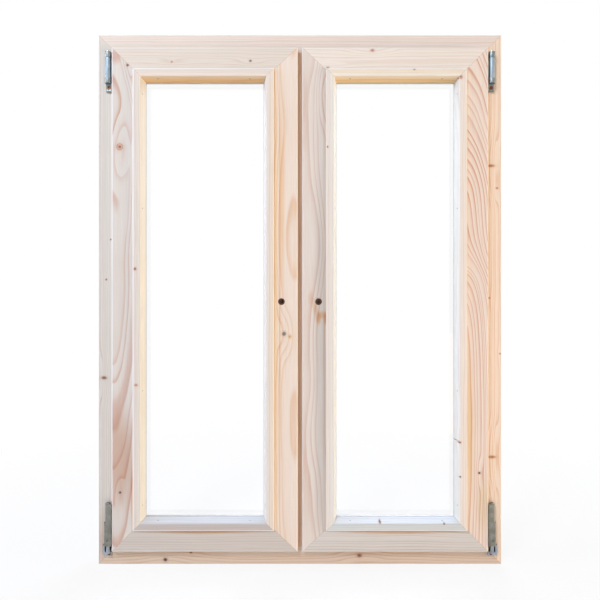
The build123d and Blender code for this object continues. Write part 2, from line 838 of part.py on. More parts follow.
# Faceplate screws, half-way between the cams and near both ends.
between_cams = [(a + b) / 2 for a, b in zip(cam_heights, cam_heights[1:])]
case_zone = case_half_height + face_screw_from_case
face_heights = [z for z in between_cams if abs(z - lock_height) > case_zone]
face_heights += [lock_height - case_zone, lock_height + case_zone]
face_heights += [faceplate_bottom + face_screw_from_end, faceplate_top - face_screw_from_end]
face_places = [into_minus_x(sash_rim.right - lip_width, v_lock, z) for z in face_heights]
face_screws, face_holes = screws(lock_screw, face_places)
faceplate = less(faceplate, face_holes)
slot_radius = lock_screw["shank"] + slot_clearance
for z in face_heights:
    rod -= lock_block(rod_front - over, rod_back + over, slot_radius, z - rod_travel - slot_radius, z + slot_radius)

# ---- Glazing beads, nailed through their sloping reveals into the rebate ------------------------------
bead_rim = inset(sight_rim, -bead_width)
wall_w = bead_overlap + bead_gap
bead_section = [
    (0, bead_face, bead_round),
    (bead_width - bead_slant, bead_face, bead_round),
    (bead_width, bead_back, 0),
    (wall_w, bead_back, 0),
    (wall_w, sash_face, 0),
    (0, sash_face, 0),
]
beads = {side: bar(side, bead_section, bead_rim) & mitre(side, bead_rim, sight_rim) for side in SIDES}

reveal_depth = bead_back - bead_face
brad_tilt = atan(bead_slant / reveal_depth)
brad_offset = bead_slant * (1 - brad_depth / reveal_depth)
OUTWARD = dict(left=(-1, 0), right=(1, 0), bottom=(0, -1), top=(0, 1))


def brad(gap=0.0):
    """A brad with its head's face at the origin, pointing down Z."""
    head = brad_head_height + gap
    form = Pos(0, 0, -head / 2) * Cylinder(brad_head_radius + gap, head)
    length = brad_length + gap
    return form + Pos(0, 0, -length / 2) * Cylinder(brad_radius + gap, length)


def brad_places(low, high):
    """Along a bead: one near each end, and two about the middle where the bead is long enough."""
    ends = [low + brad_from_corner, high - brad_from_corner]
    inner = [(low + high + step) / 2 for step in (-brad_pitch, brad_pitch)]
    return ends + [place for place in inner if ends[0] < place < ends[1]]


def brad_planes(side):
    """Where the brads of one bead go in, with Z pointing back out of the wood."""
    dx, dz = OUTWARD[side]
    v = bead_face + brad_depth
    direction = Vector(cos(brad_tilt) * dx, sin(brad_tilt), cos(brad_tilt) * dz)
    if dx:
        x = getattr(sight_rim, side) + dx * brad_offset
        spots = [(x, z) for z in brad_places(sight_rim.bottom, sight_rim.top)]
    else:
        z = getattr(sight_rim, side) + dz * brad_offset
        spots = [(x, z) for x in brad_places(sight_rim.left, sight_rim.right)]
    return [Plane(origin=(x, y_at(v), z), z_dir=direction * -1) for x, z in spots]


brads = {side: [plane * brad() for plane in brad_planes(side)] for side in SIDES}
brad_holes = {side: [plane * brad(gap=screw_gap) for plane in brad_planes(side)] for side in SIDES}
# Each bead is cut a little above its brads' heads too, so that the heads lie open in the reveal.
for side in SIDES:
    sinks = [
        plane * (Pos(0, 0, brad_head_radius / 2) * Cylinder(brad_head_radius + screw_gap, brad_head_radius))
        for plane in brad_planes(side)
    ]
    beads[side] = less(beads[side], brad_holes[side] + sinks)

# ---- Insulating glass unit ----------------------------------------------------------------------------
cavity_front = unit_front + pane_thickness
cavity_back = unit_back - pane_thickness
panes = [slab(glass_rim, unit_front, cavity_front), slab(glass_rim, cavity_back, unit_back)]
sealant = ring(glass_rim, sealant_depth, cavity_front, cavity_back)
spacer = ring(inset(glass_rim, sealant_depth + sealant_gap), spacer_depth, cavity_front, cavity_back)
tape_rim = inset(sight_rim, -tape_depth)
outer_tape_rim = inset(tape_rim, -outer_sight_step)
tapes = [
    ring(tape_rim, tape_depth + tape_showing, bead_back, unit_front),
    ring(outer_tape_rim, tape_depth + tape_showing, unit_back, rebate_back),
]

floor_rim = inset(sight_rim, -glazing_rebate)
near = floor_rim.left + block_from_corner
far = floor_rim.right - block_from_corner
low = floor_rim.bottom + block_from_corner
high = floor_rim.top - block_from_corner
setting_blocks = [
    block(near, near + block_length, unit_front, unit_back, floor_rim.bottom, glass_rim.bottom),
    block(far - block_length, far, unit_front, unit_back, floor_rim.bottom, glass_rim.bottom),
    block(near, near + block_length, unit_front, unit_back, glass_rim.top, floor_rim.top),
    block(far - block_length, far, unit_front, unit_back, glass_rim.top, floor_rim.top),
    block(floor_rim.left, glass_rim.left, unit_front, unit_back, low, low + block_length),
    block(glass_rim.right, floor_rim.right, unit_front, unit_back, high - block_length, high),
]

# ---- Cuts in the sash members ----------------------------------------------------------------------------
hinge_side_cuts = [lip_notch(*upper_web), lip_notch(*lower_web), corner_leaf_room] + leaf_holes
lock_side_cuts = [case_pocket, faceplate_groove, rod_groove, handle_hole] + face_holes
for side in SIDES:
    cuts = tenon_holes + [gasket_foot] + brad_holes[side]
    if side != "right":
        cuts += hinge_side_cuts
    if side != "left":
        cuts += lock_side_cuts
    sash_members[side] = less(sash_members[side], cuts)

# ---- Sash nodes, the left sash as built and the right one as its mirror image ------------------------------
sash_nodes = {
    "hinge_stile": [sash_members["left"]],
    "lock_stile": [sash_members["right"]],
    "top_rail": [sash_members["top"]],
    "bottom_rail": [sash_members["bottom"]],
    "corner_tenons": [loose_tenon(*t) for t in sash_tenons],
    "bead_hinge_side": [beads["left"]],
    "bead_lock_side": [beads["right"]],
    "bead_top": [beads["top"]],
    "bead_bottom": [beads["bottom"]],
    "bead_brads": [b for side in SIDES for b in brads[side]],
    "glass_panes": panes,
    "glass_spacer": [spacer, sealant],
    "glazing_tapes": tapes,
    "setting_blocks": setting_blocks,
    "sash_gasket": [gasket],
    "upper_hinge_arm": [upper_arm],
    "lower_hinge": [lower_hinge],
    "hardware_screws": leaf_screws + face_screws,
    "lock_faceplate": [faceplate],
    "lock_case": [case],
    "lock_follower": [follower],
    "lock_rod": [rod, rack] + cams,
}
for name, shapes in sash_nodes.items():
    nodes["left_" + name] = shapes
    nodes["right_" + name] = [mirrored(shape) for shape in shapes]

os.makedirs("parts", exist_ok=True)
for name, shapes in nodes.items():
    shapes = shapes if isinstance(shapes, list) else [shapes]
    solids = [solid for shape in shapes for solid in shape.solids()]
    whole = solids[0] if len(solids) == 1 else Compound(children=solids)
    export_step(whole, f"parts/{name}.step")
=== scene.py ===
import math

import bmesh
import bpy
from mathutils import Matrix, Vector


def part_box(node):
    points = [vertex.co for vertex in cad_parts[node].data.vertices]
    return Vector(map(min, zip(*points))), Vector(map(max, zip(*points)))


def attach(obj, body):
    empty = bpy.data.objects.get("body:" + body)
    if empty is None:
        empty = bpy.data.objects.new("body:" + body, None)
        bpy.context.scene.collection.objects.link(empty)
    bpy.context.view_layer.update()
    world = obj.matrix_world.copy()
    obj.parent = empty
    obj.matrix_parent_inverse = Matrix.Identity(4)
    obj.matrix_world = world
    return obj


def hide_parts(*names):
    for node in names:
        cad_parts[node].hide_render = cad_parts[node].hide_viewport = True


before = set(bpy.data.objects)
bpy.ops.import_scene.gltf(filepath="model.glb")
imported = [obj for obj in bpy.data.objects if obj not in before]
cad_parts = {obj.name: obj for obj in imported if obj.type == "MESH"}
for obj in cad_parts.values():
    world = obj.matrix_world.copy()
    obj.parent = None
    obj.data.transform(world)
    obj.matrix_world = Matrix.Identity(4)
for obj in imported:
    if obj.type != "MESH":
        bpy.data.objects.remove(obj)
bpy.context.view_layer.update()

# ---- The room --------------------------------------------------------------------------------
# A plain white studio: a soft world, a large lamp from the upper left, a cool one on the left, warm
# ones on the right and low in front, and one behind, so that every side is lit at a plain level.
EYE = (0, -1.434, 0.649)
LENS_MM = 34.16
SENSOR_MM = 36
NEAREST = 0.02  # m, where the camera starts to see
AIM = (0, 0, 0.65)  # what the lamps look at, the middle of the window
WORLD_STRENGTH = 0.3
FLOOR_SIZE = 24  # m
FLOOR_Z = -0.0005
WHITE_FROM, WHITE_BY = 0.2, 1.6  # m from the middle, where the floor's shadow gives way to white
WHITE_NEAR = 0.78  # the white's share close to the window


def linear(code):
    """An sRGB hex colour as linear RGBA."""
    values = [int(code[i : i + 2], 16) / 255 for i in (1, 3, 5)]
    return [v / 12.92 if v <= 0.04045 else ((v + 0.055) / 1.055) ** 2.4 for v in values] + [1.0]


def feed(tree, node, inputs):
    """Sets a node's inputs, each to a value, a socket, or the first output of the node that feeds it."""
    for key, value in inputs.items():
        if isinstance(value, bpy.types.Node):
            value = next(socket for socket in value.outputs if socket.enabled)
        if isinstance(value, bpy.types.NodeSocket):
            tree.links.new(value, node.inputs[key])
        else:
            node.inputs[key].default_value = value


def add(tree, kind, *inputs, **settings):
    """Adds a node with its settings and inputs, which are given in order or in one dict.

    A shader node's kind is written without ShaderNode, and may be followed by its operation.
    """
    kind, *operation = kind.split()
    node = tree.nodes.new(kind if "Node" in kind else "ShaderNode" + kind)
    if operation:
        node.operation = operation[0]
    for key, value in settings.items():
        setattr(node, key, value)
    named = inputs and isinstance(inputs[0], dict)
    feed(tree, node, inputs[0] if named else dict(enumerate(inputs)))
    return node


def ranged(tree, value, span, onto=(0.0, 1.0), **settings):
    """Adds a map of a value from one span onto another."""
    spans = zip(("From Min", "From Max", "To Min", "To Max"), (*span, *onto))
    return add(tree, "MapRange", {"Value": value, **dict(spans)}, **settings)


def blend(tree, share, under, over, **settings):
    """Adds a mix of two colours, by the share that the one over the other has."""
    return add(tree, "Mix", {0: share, 6: under, 7: over}, data_type="RGBA", **settings)


def lamp(name, place, size, power, colour):
    """A round lamp that looks at the window, and isn't seen itself by the camera or through glass."""
    data = bpy.data.lights.new(name, "AREA")
    data.shape, data.size, data.energy, data.color = "DISK", size, power, linear(colour)[:3]
    item = bpy.data.objects.new(name, data)
    item.location = place
    item.visible_camera = item.visible_transmission = False
    item.rotation_euler = (Vector(AIM) - Vector(place)).to_track_quat("-Z", "Y").to_euler()
    bpy.context.scene.collection.objects.link(item)


def seen_directly(tree):
    """1 on rays from the camera, a glossy surface or through glass, 0 on the rays that light things."""
    path = add(tree, "LightPath")
    seen = path.outputs["Is Camera Ray"]
    for ray in ("Is Glossy Ray", "Is Transmission Ray"):
        seen = add(tree, "Math MAXIMUM", seen, path.outputs[ray]).outputs[0]
    return seen


scene = bpy.context.scene
scene.view_settings.view_transform = "Standard"
lamp("key_lamp", (-1.6, -2.8, 3.3), 1.2, 78, "#F8FAFF")
lamp("cool_side_lamp", (-4.2, -0.9, 2.0), 1.4, 80, "#CDDDFF")
lamp("warm_side_lamp", (4.2, -0.9, 0.5), 1.4, 104, "#FFE0BC")
lamp("warm_low_lamp", (0.5, -1.5, 0.12), 0.9, 3, "#FFB870")
lamp("back_lamp", (0.9, 2.8, 2.4), 2.0, 66, "#DCE8FF")

world = bpy.data.worlds.new("studio")
scene.world = world
world.use_nodes = True
tree = world.node_tree
tree.nodes.clear()
soft = add(tree, "Background", {"Color": linear("#FAFCFF"), "Strength": WORLD_STRENGTH})
white = add(tree, "Background", {"Color": linear("#FFFFFF"), "Strength": 1.0})
shown = add(tree, "MixShader", seen_directly(tree), soft, white)
add(tree, "OutputWorld", {"Surface": shown})

# The floor's matt paint keeps a faint shadow near the window and gives way to plain white farther off.
bpy.ops.mesh.primitive_plane_add(size=FLOOR_SIZE, location=(0, 0, FLOOR_Z))
floor = bpy.context.object
floor.name = "floor"
floor_paint = bpy.data.materials.new("white_floor_paint")
floor_paint.use_nodes = True
tree = floor_paint.node_tree
tree.nodes.clear()
matt = add(tree, "BsdfDiffuse", {"Color": linear("#F4F4F3")})
glow = add(tree, "Emission", {"Color": linear("#FFFFFF"), "Strength": 1.0})
away = add(tree, "VectorMath LENGTH", add(tree, "TexCoord").outputs["Object"]).outputs["Value"]
far = ranged(tree, away, (WHITE_FROM, WHITE_BY), (WHITE_NEAR, 1.0))
far = add(tree, "Math MULTIPLY", far, seen_directly(tree))
both = add(tree, "MixShader", far, matt, glow)
add(tree, "OutputMaterial", {"Surface": both})
floor.data.materials.append(floor_paint)

camera = bpy.data.objects.new("camera", bpy.data.cameras.new("camera"))
camera.data.lens, camera.data.sensor_width, camera.data.clip_start = LENS_MM, SENSOR_MM, NEAREST
camera.location = EYE
camera.rotation_euler = (math.radians(90), 0, 0)
scene.collection.objects.link(camera)
scene.camera = camera

# ---- Frame: jambs, head, sill and mullion ------------------------------------------------------
# Planed and sanded pine, left bare: four rebated members mitred at the corners and a fixed
# mullion. Earlywood is cream and matt, and each year's latewood darkens to a sharp pinkish edge.
MM = 0.001
WINDOW_MIDDLE = 650.0  # mm up
FRAME_HALF = 650.0  # mm, half of the frame's height
NOISE_SPAN = (0.3, 0.7)  # what most of a noise's values lie in

PITH_REACH = 400  # mm, the widest that a pith line may lie from a board's middle, both ways added
SLOW_SWAY = ((5, 5, 3), 4.0)  # repeats a metre across, through and along, and reach per mm of sway
QUICK_SWAY = ((30, 30, 10), 0.4)
YEARS_PER_METRE = 75.0  # how often good and poor years change, along the radius
YEAR_UNEVENNESS = 2.2
YEAR_PROFILE = ((0.35, 0.04), (0.62, 0.24), (0.84, 0.85), (0.92, 1.0), (0.97, 0.3))  # share, darkness
YEAR_STRENGTH, PATCH_STRENGTH = 0.6, 0.9  # how dark one year, and one patch of the board, may be
PATCH_SCALE = (14, 14, 4)  # repeats a metre of the patches where the rings are strong or faint
FIBRE_SCALE = (900, 900, 16)  # streaks 1 mm wide and 60 mm long
FIBRE_SHADES = (0.94, 1.03)  # the darkest and the palest streak
TINT_CORE = 0.2  # the share of a tint's radius that has its full colour
TINT_SKIN = 0.4  # the share of a tint's depth that has its full colour
WHOLE_LENGTH = 5000  # mm, the half height of a tint that runs from end to end of a member
# The pale lines along the front edges are painted highlights.
HIGHLIGHT_FROM, HIGHLIGHT_BY = 0.9, 3.1  # mm in from an edge, where its pale line starts to fade and is gone
HIGHLIGHT_DEPTH = 3.5  # mm back from the face
HIGHLIGHT_SHARE = 0.95
GLUE_LINE = 0.5  # mm each side of a mitre
GLUE, GLUE_SHARE = "#8F6F55", 0.4
LATE_RELIEF = 0.3  # how proud the hard latewood stands, in heights of the fibres
RELIEF_MM, RELIEF_STRENGTH = 0.3, 0.25
WOOD_SHEEN = (0.5, 0.2)  # the roughness, and how much the fibres add to it
WOOD_IOR = 1.45

KNOT_EDGE_SCALE = 260.0  # repeats a metre of the ragged edge of a knot
KNOT_EDGE = 0.22  # how ragged, as a share of the knot
KNOT_REACH = 2.5  # the halo's edge, in radii of the knot
HEART = 0.38  # the brightness of a knot's heart, as a share of its colour
KNOT_STOPS = (  # share of the reach, brightness as a share of the knot's colour, and cover
    (0.0, HEART, 0.95), (0.09, HEART, 0.95), (0.17, 1.0, 0.92), (0.3, 1.3, 0.88), (0.37, 0.55, 0.85),
    (0.43, 1.0, 0.3), (0.6, 1.0, 0.12), (1.0, 1.0, 0.0),
)
KNOT_RINGS, KNOT_RING_SHARE = 2.5, 0.3  # the knot's own rings in its radius, and how dark they are
BEND_REACH, BEND_MORE = 1.7, 3  # how far out a knot bends the rings: knot radii, and mm more
BEND_WIDTH = 0.28  # the bend's reach across the grain, as a share of its reach along it
BEND_END = 2.4  # where the bend has died out, in those reaches
PINK_KNOT, BROWN_KNOT, GREY_KNOT, DARK_KNOT = "#C99880", "#96664A", "#857569", "#5E4038"
RED_KNOT, AMBER_KNOT = "#A8664E", "#C58A58"
PAINTED_WARM_SHADE = "#F0C08C"  # painted warm shade under the sash lips and the beads


def material(name):
    """A new material, its tree, and the Principled shader on its output."""
    made = bpy.data.materials.new(name)
    made.use_nodes = True
    tree = made.node_tree
    tree.nodes.clear()
    shader = add(tree, "BsdfPrincipled")
    add(tree, "OutputMaterial", {"Surface": shader})
    return made, tree, shader


def paint(node, made):
    """Gives a node of the model its material."""
    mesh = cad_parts[node].data
    mesh.materials.clear()
    mesh.materials.append(made)


def noise_over(tree, coordinates, scale, detail):
    """The outputs of a noise whose repeats a metre differ along the three axes."""
    stretched = add(tree, "VectorMath MULTIPLY", coordinates, scale)
    return add(tree, "TexNoise", {"Vector": stretched, "Scale": 1.0, "Detail": detail}).outputs


def apart(tree, value, place):
    """How far a coordinate is from a place, which is given in mm."""
    gap = add(tree, "Math SUBTRACT", value, place * MM)
    return add(tree, "Math ABSOLUTE", gap)


def radii_away(tree, coordinates, x, z, half_x, half_z):
    """How far a point is from (x, z), in half widths and half heights of an ellipse, sizes in mm."""
    offset = add(tree, "VectorMath SUBTRACT", coordinates, (x * MM, 0, z * MM))
    scale = (1 / (half_x * MM), 0, 1 / (half_z * MM))
    offset = add(tree, "VectorMath MULTIPLY", offset, scale)
    return add(tree, "VectorMath LENGTH", offset).outputs["Value"]


def pith_distance(tree, board, seeded, share, pith, drift, sway):
    """The distance in metres from the pith line, which wanders along the board and sways by noise."""
    wandering = board
    for scale, reach in (SLOW_SWAY, QUICK_SWAY):
        noise = noise_over(tree, seeded, scale, 1.0)["Color"]
        reach = (reach * sway * MM,) * 3
        wandering = add(tree, "VectorMath MULTIPLY_ADD", noise, reach, wandering)
    axes = add(tree, "SeparateXYZ", wandering)
    noise_middle = 0.5 * (SLOW_SWAY[1] + QUICK_SWAY[1]) * sway
    squares = []
    for axis in (0, 1):
        bend = add(tree, "FloatCurve", {"Value": share})
        points = bend.mapping.curves[0].points
        stations = [(step[0], 0.5 + (pith[axis] + step[1 + axis]) / PITH_REACH) for step in drift]
        points[0].location, points[1].location = stations[0], stations[-1]
        for station in stations[1:-1]:
            points.new(*station)
        bend.mapping.update()
        away = add(tree, "Math MULTIPLY_ADD", bend, -PITH_REACH * MM, axes.outputs[axis])
        away = add(tree, "Math ADD", away, (PITH_REACH / 2 - noise_middle) * MM)
        squares.append(add(tree, "Math MULTIPLY", away, away))
    total = add(tree, "Math ADD", squares[0], squares[1])
    return add(tree, "Math SQRT", total)


def knot_mark(tree, tone, coordinates, x, z, half_x, half_z, colour):
    """A knot: a dark heart, its own fine rings, a bark line round it, and resin in the wood beside it."""
    away = radii_away(tree, coordinates, x, z, half_x, half_z)
    ragged = add(tree, "TexNoise", {"Vector": coordinates, "Scale": KNOT_EDGE_SCALE, "Detail": 2.0})
    ragged = add(tree, "Math SUBTRACT", ragged, 0.5)
    away = add(tree, "Math MULTIPLY_ADD", ragged, 2 * KNOT_EDGE, away)
    mark = add(tree, "ValToRGB", add(tree, "Math DIVIDE", away, KNOT_REACH))
    body = linear(colour)[:3]
    stops = [(at, (*(min(1.0, bright * part) for part in body), cover)) for at, bright, cover in KNOT_STOPS]
    ramp = mark.color_ramp.elements
    ramp[0].position, ramp[0].color = stops[0]
    ramp[1].position, ramp[1].color = stops[-1]
    for at, shade in stops[1:-1]:
        ramp.new(at).color = shade
    cover = mark.outputs["Alpha"]
    tone = blend(tree, cover, tone, mark.outputs["Color"])
    waves = add(tree, "Math MULTIPLY", away, KNOT_RINGS * 2 * math.pi)
    waves = add(tree, "Math SINE", waves)
    waves = add(tree, "Math MULTIPLY_ADD", waves, KNOT_RING_SHARE, 0.0, use_clamp=True)
    waves = add(tree, "Math MULTIPLY", waves, cover)
    heart = (*(HEART * part for part in body), 1.0)
    return blend(tree, waves, tone, heart)


def pine(node, along, pale, late, ring, pith, sway, seed, drift=((0, 0, 0), (1, 0, 0)), contrast=1.0,
         phase=0.0, knots=(), tints=(), tint_depth=40, arrises=(), corners=(), half_height=FRAME_HALF):
    """Pine sawn beside the pith of a log, on one member and in its own place.

    ring is a year's growth. pith is where the pith line passes the board's middle, across the
    board and behind it, and drift how it wanders: (share of the length, across, behind). sway is
    how far the rings wave, contrast how strong they are, and phase the part of a year that they
    start at. Knots are (x, z, half width, half height, colour, rings bent) and tints (x, z, half
    width, half height, colour, share), which reach tint_depth behind the room side; some tints are
    stains, and some are painted light and shade. Arrises are (axis, place, colour) of pale lines
    painted along front edges as highlights, and corners (x, slope) of mitres, which end at half the
    height above and below the middle. All sizes are in mm.
    """
    made, tree, shader = material(f"planed_pine_{node}")
    low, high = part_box(node)
    coordinates = add(tree, "TexCoord").outputs["Object"]
    place = add(tree, "SeparateXYZ", coordinates)
    x, y, z = place.outputs
    upright = along == "Z"
    # In board space X is across, Y is through and Z is along the grain.
    turn = (0, 0 if upright else math.radians(90), 0)
    to_board = {"Vector": coordinates, "Location": (low + high) / 2, "Rotation": turn}
    board = add(tree, "Mapping", to_board, vector_type="TEXTURE")
    seeded = add(tree, "VectorMath ADD", board, (seed, 2 * seed, 3 * seed))
    ends = (low.z, high.z) if upright else (low.x, high.x)
    share = ranged(tree, z if upright else x, ends)
    radius = pith_distance(tree, board, seeded, share, pith, drift, sway)

    # Good and poor years differ in width. A knot bends the rings round itself.
    scaled = add(tree, "Math MULTIPLY", radius, YEARS_PER_METRE)
    years = {"W": scaled, "Scale": 1.0, "Detail": 1.0}
    years = add(tree, "TexNoise", years, noise_dimensions="1D").outputs[0]
    rings = add(tree, "Math MULTIPLY_ADD", radius, 1 / (ring * MM), phase)
    rings = add(tree, "Math MULTIPLY_ADD", years, YEAR_UNEVENNESS, rings)
    for knot_x, knot_z, half_x, half_z, colour, bent in knots:
        across = BEND_REACH * max(half_x, half_z) + BEND_MORE
        reach = (across, across / BEND_WIDTH) if upright else (across / BEND_WIDTH, across)
        near = radii_away(tree, coordinates, knot_x, knot_z, *reach)
        bell = ranged(tree, near, (0.0, BEND_END), (bent, 0.0), interpolation_type="SMOOTHERSTEP")
        rings = add(tree, "Math ADD", rings, bell)

    profile = add(tree, "ValToRGB", add(tree, "Math FRACT", rings))
    stops = profile.color_ramp.elements
    stops[0].color = stops[1].color = (0, 0, 0, 1)
    for at, value in YEAR_PROFILE:
        stops.new(at).color = (value, value, value, 1)
    year = add(tree, "Math FLOOR", rings)
    strength = add(tree, "TexWhiteNoise", {"W": year}, noise_dimensions="1D").outputs["Value"]
    patches = noise_over(tree, seeded, PATCH_SCALE, 2.0)[0]
    patches = add(tree, "Math MULTIPLY", patches, PATCH_STRENGTH * contrast)
    strength = add(tree, "Math MULTIPLY_ADD", strength, YEAR_STRENGTH * contrast, patches)
    late_part = add(tree, "Math MULTIPLY", profile.outputs[0], strength, use_clamp=True)
    tone = blend(tree, late_part, linear(pale), linear(late))

    # Tints lie near the room side and fade out behind it. Some are stains in the wood, and some are painted
    # light and shade.
    fading = (low.y + TINT_SKIN * tint_depth * MM, low.y + tint_depth * MM)
    fading = ranged(tree, y, fading, (1.0, 0.0)) if tints else None
    for tint_x, tint_z, half_x, half_z, colour, amount in tints:
        near = radii_away(tree, coordinates, tint_x, tint_z, half_x, half_z)
        near = ranged(tree, near, (TINT_CORE, 1.0), (amount, 0.0), interpolation_type="SMOOTHSTEP")
        near = add(tree, "Math MULTIPLY", near, fading)
        tone = blend(tree, near, tone, linear(colour), blend_type="MULTIPLY")

    fibres = noise_over(tree, seeded, FIBRE_SCALE, 3.0)[0]
    tone = add(tree, "VectorMath SCALE", {0: tone, 3: ranged(tree, fibres, NOISE_SPAN, FIBRE_SHADES)})
    for *mark, bent in knots:
        tone = knot_mark(tree, tone, coordinates, *mark)

    # Arrises: pale lines painted along the rounded front edges, painted highlights of the light that they
    # catch.
    front = add(tree, "Math LESS_THAN", y, low.y + HIGHLIGHT_DEPTH * MM)
    for axis, edge, colour in arrises:
        near = apart(tree, place.outputs[axis], edge)
        near = ranged(tree, near, (HIGHLIGHT_FROM * MM, HIGHLIGHT_BY * MM), (HIGHLIGHT_SHARE, 0.0))
        near = add(tree, "Math MULTIPLY", near, front)
        tone = blend(tree, near, tone, linear(colour))

    # Mitres: a hairline of dried glue where two members meet.
    for corner_x, slope in corners:
        above = apart(tree, x, corner_x)
        above = add(tree, "Math MULTIPLY_ADD", above, slope, apart(tree, z, WINDOW_MIDDLE))
        line = add(tree, "Math COMPARE", above, half_height * MM, GLUE_LINE * MM)
        line = add(tree, "Math MULTIPLY", line, GLUE_SHARE)
        tone = blend(tree, line, tone, linear(GLUE))

    relief = add(tree, "Math MULTIPLY_ADD", late_part, LATE_RELIEF, fibres)
    bump = {"Height": relief, "Strength": RELIEF_STRENGTH, "Distance": RELIEF_MM * MM}
    rough = add(tree, "Math MULTIPLY_ADD", fibres, WOOD_SHEEN[1], WOOD_SHEEN[0])
    feed(tree, shader, {
        "Base Color": tone, "Roughness": rough, "Normal": add(tree, "Bump", bump), "IOR": WOOD_IOR})
    paint(node, made)


left_mitre, right_mitre = (-495, 1.0), (495, 1.0)  # from the outer corners, at 45 degrees
frame_looks = {
    "frame_jamb_left": dict(
        pale="#E0DAD0", late="#C8B7A8", ring=3.4, pith=(60, 25), sway=2.5, contrast=0.8, seed=1,
        corners=(left_mitre,), tint_depth=300,
        # The second tint, on the outer side face, is painted light: it warms that side against the cool
        # lamp on it.
        tints=((-478, 30, 30, 150, "#F0D8C8", 0.7), (-496, 650, 3, WHOLE_LENGTH, "#FFF2DC", 1.0)),
        knots=((-481.7, 457.7, 6.0, 3.6, BROWN_KNOT, 1.4), (-476.3, 699.4, 2.0, 2.0, RED_KNOT, 0.5),
               (-465.2, 797.8, 1.8, 1.8, RED_KNOT, 0.4))),
    "frame_jamb_right": dict(
        pale="#F5E4D0", late="#DDB08C", ring=4.2, pith=(-55, 35), sway=3.5, seed=2,
        # The tint on the outer side face is painted light: it cools that side against the warm lamp on it.
        corners=(right_mitre,), tint_depth=300, tints=((496, 650, 3, WHOLE_LENGTH, "#F0F2FF", 1.0),),
        knots=((470, 979, 8.0, 3.2, AMBER_KNOT, 1.5), (472, 263, 8.5, 3.4, AMBER_KNOT, 1.8),
               (484.4, 924, 3.0, 2.4, PINK_KNOT, 0.6), (465.7, 654, 2.2, 2.2, PINK_KNOT, 0.4),
               (491.8, 517, 2.2, 2.0, PINK_KNOT, 0.4))),
    "frame_head": dict(
        pale="#EADFD5", late="#DABFAE", ring=3.6, pith=(60, 40), sway=3, contrast=0.8, seed=3,
        corners=(left_mitre, right_mitre)),
    "frame_sill": dict(
        pale="#DFCDBB", late="#BF9776", ring=4.6, pith=(-45, 60), sway=5, contrast=0.8, seed=4,
        corners=(left_mitre, right_mitre),
        knots=((-331, 10.6, 4.5, 4.0, DARK_KNOT, 1.0), (-268, 28.6, 3.0, 2.6, BROWN_KNOT, 0.5),
               (146, 20.7, 5.5, 4.6, BROWN_KNOT, 1.2)),
        # Painted warm shade under each sash's bottom lip.
        tints=((-232, 35, 232, 9, PAINTED_WARM_SHADE, 0.85), (232, 35, 232, 9, PAINTED_WARM_SHADE, 0.85))),
    "frame_mullion": dict(
        pale="#EACBB0", late="#C79E7E", ring=4.0, pith=(20, 60), sway=3, contrast=0.6, seed=5),
}
for node, look in frame_looks.items():
    pine(node, "X" if node in ("frame_head", "frame_sill") else "Z", **look)

# ---- Beech tenons and dowels -------------------------------------------------------------------
# Loose tenons glued across the mitres of the frame and the sashes, and dowels in the mullion's
# ends. Steamed beech: pinkish brown, close and even, with short dark flecks.
FLECK_SCALE = (500, 500, 60)  # flecks 2 mm wide and 17 mm long
FLECK_STOPS = ((0.35, "#A87B58"), (0.6, "#CDA17B"))  # the noise in a fleck and beside it


def beech():
    """Steamed beech, planed, which looks even and half matt."""
    made, tree, shader = material("steamed_beech")
    coordinates = add(tree, "TexCoord").outputs["Object"]
    flecks = noise_over(tree, coordinates, FLECK_SCALE, 2.0)[0]
    tone = add(tree, "ValToRGB", flecks)
    for stop, (at, colour) in zip(tone.color_ramp.elements, FLECK_STOPS):
        stop.position, stop.color = at, linear(colour)
    bump = add(tree, "Bump", {"Height": flecks, "Strength": 0.2, "Distance": 0.2 * MM})
    feed(tree, shader, {"Base Color": tone, "Normal": bump, "Roughness": 0.6})
    return made


beech_wood = beech()
for node in ("frame_corner_tenons", "mullion_dowels", "left_corner_tenons", "right_corner_tenons"):
    paint(node, beech_wood)

# ---- Rain rails on the sill --------------------------------------------------------------------
# Extruded aluminium in mill finish, pressed over the sill's outer step in front of each sash to
# shed water. Grey and half bright, with the die's long lines along it.
CLOUD_SCALE = 55.0  # patches about 18 mm across
CLOUD_SPAN = (0.15, 0.35)  # what most of the grain's and the patches' product lies in
GRAIN_STRENGTH = 0.5
# Painted shade in the pivot rest's recess, between and behind its posts.
RECESS_SHADE = "#2A2422"


def metal(name, colour, dark, roughness, scale, bump_mm=0.05, spread=0.08, share=1.0, shaded_recess=None):
    """Metal whose finish varies by noise.

    scale is the grain's repeats a metre along X, Y and Z, and bump_mm its depth. The roughness
    varies by spread, and share is how metallic the surface is. The last argument is the Y and the
    Z, in mm, behind and above which shade is painted dark.
    """
    made, tree, shader = material(name)
    coordinates = add(tree, "TexCoord").outputs["Object"]
    grain = noise_over(tree, coordinates, scale, 3.0)[0]
    cloud = add(tree, "TexNoise", {"Vector": coordinates, "Scale": CLOUD_SCALE, "Detail": 2.0})
    mixed = add(tree, "Math MULTIPLY", grain, cloud)
    tone = blend(tree, ranged(tree, mixed, CLOUD_SPAN), linear(dark), linear(colour))
    if shaded_recess:
        place = add(tree, "SeparateXYZ", coordinates).outputs
        deep, above = (
            add(tree, "Math GREATER_THAN", place[axis], edge * MM)
            for axis, edge in zip((1, 2), shaded_recess))
        deep = add(tree, "Math MULTIPLY", deep, above)
        tone = blend(tree, deep, tone, linear(RECESS_SHADE))
    rough = ranged(tree, grain, NOISE_SPAN, (roughness - spread, roughness + spread))
    bump = {"Height": grain, "Strength": GRAIN_STRENGTH, "Distance": bump_mm * MM}
    feed(tree, shader, {
        "Base Color": tone, "Roughness": rough, "Normal": add(tree, "Bump", bump), "Metallic": share})
    return made


paint("rain_rails", metal("mill_aluminium_extruded", "#D3D5D7", "#BFC2C5", 0.38, (6, 700, 700)))

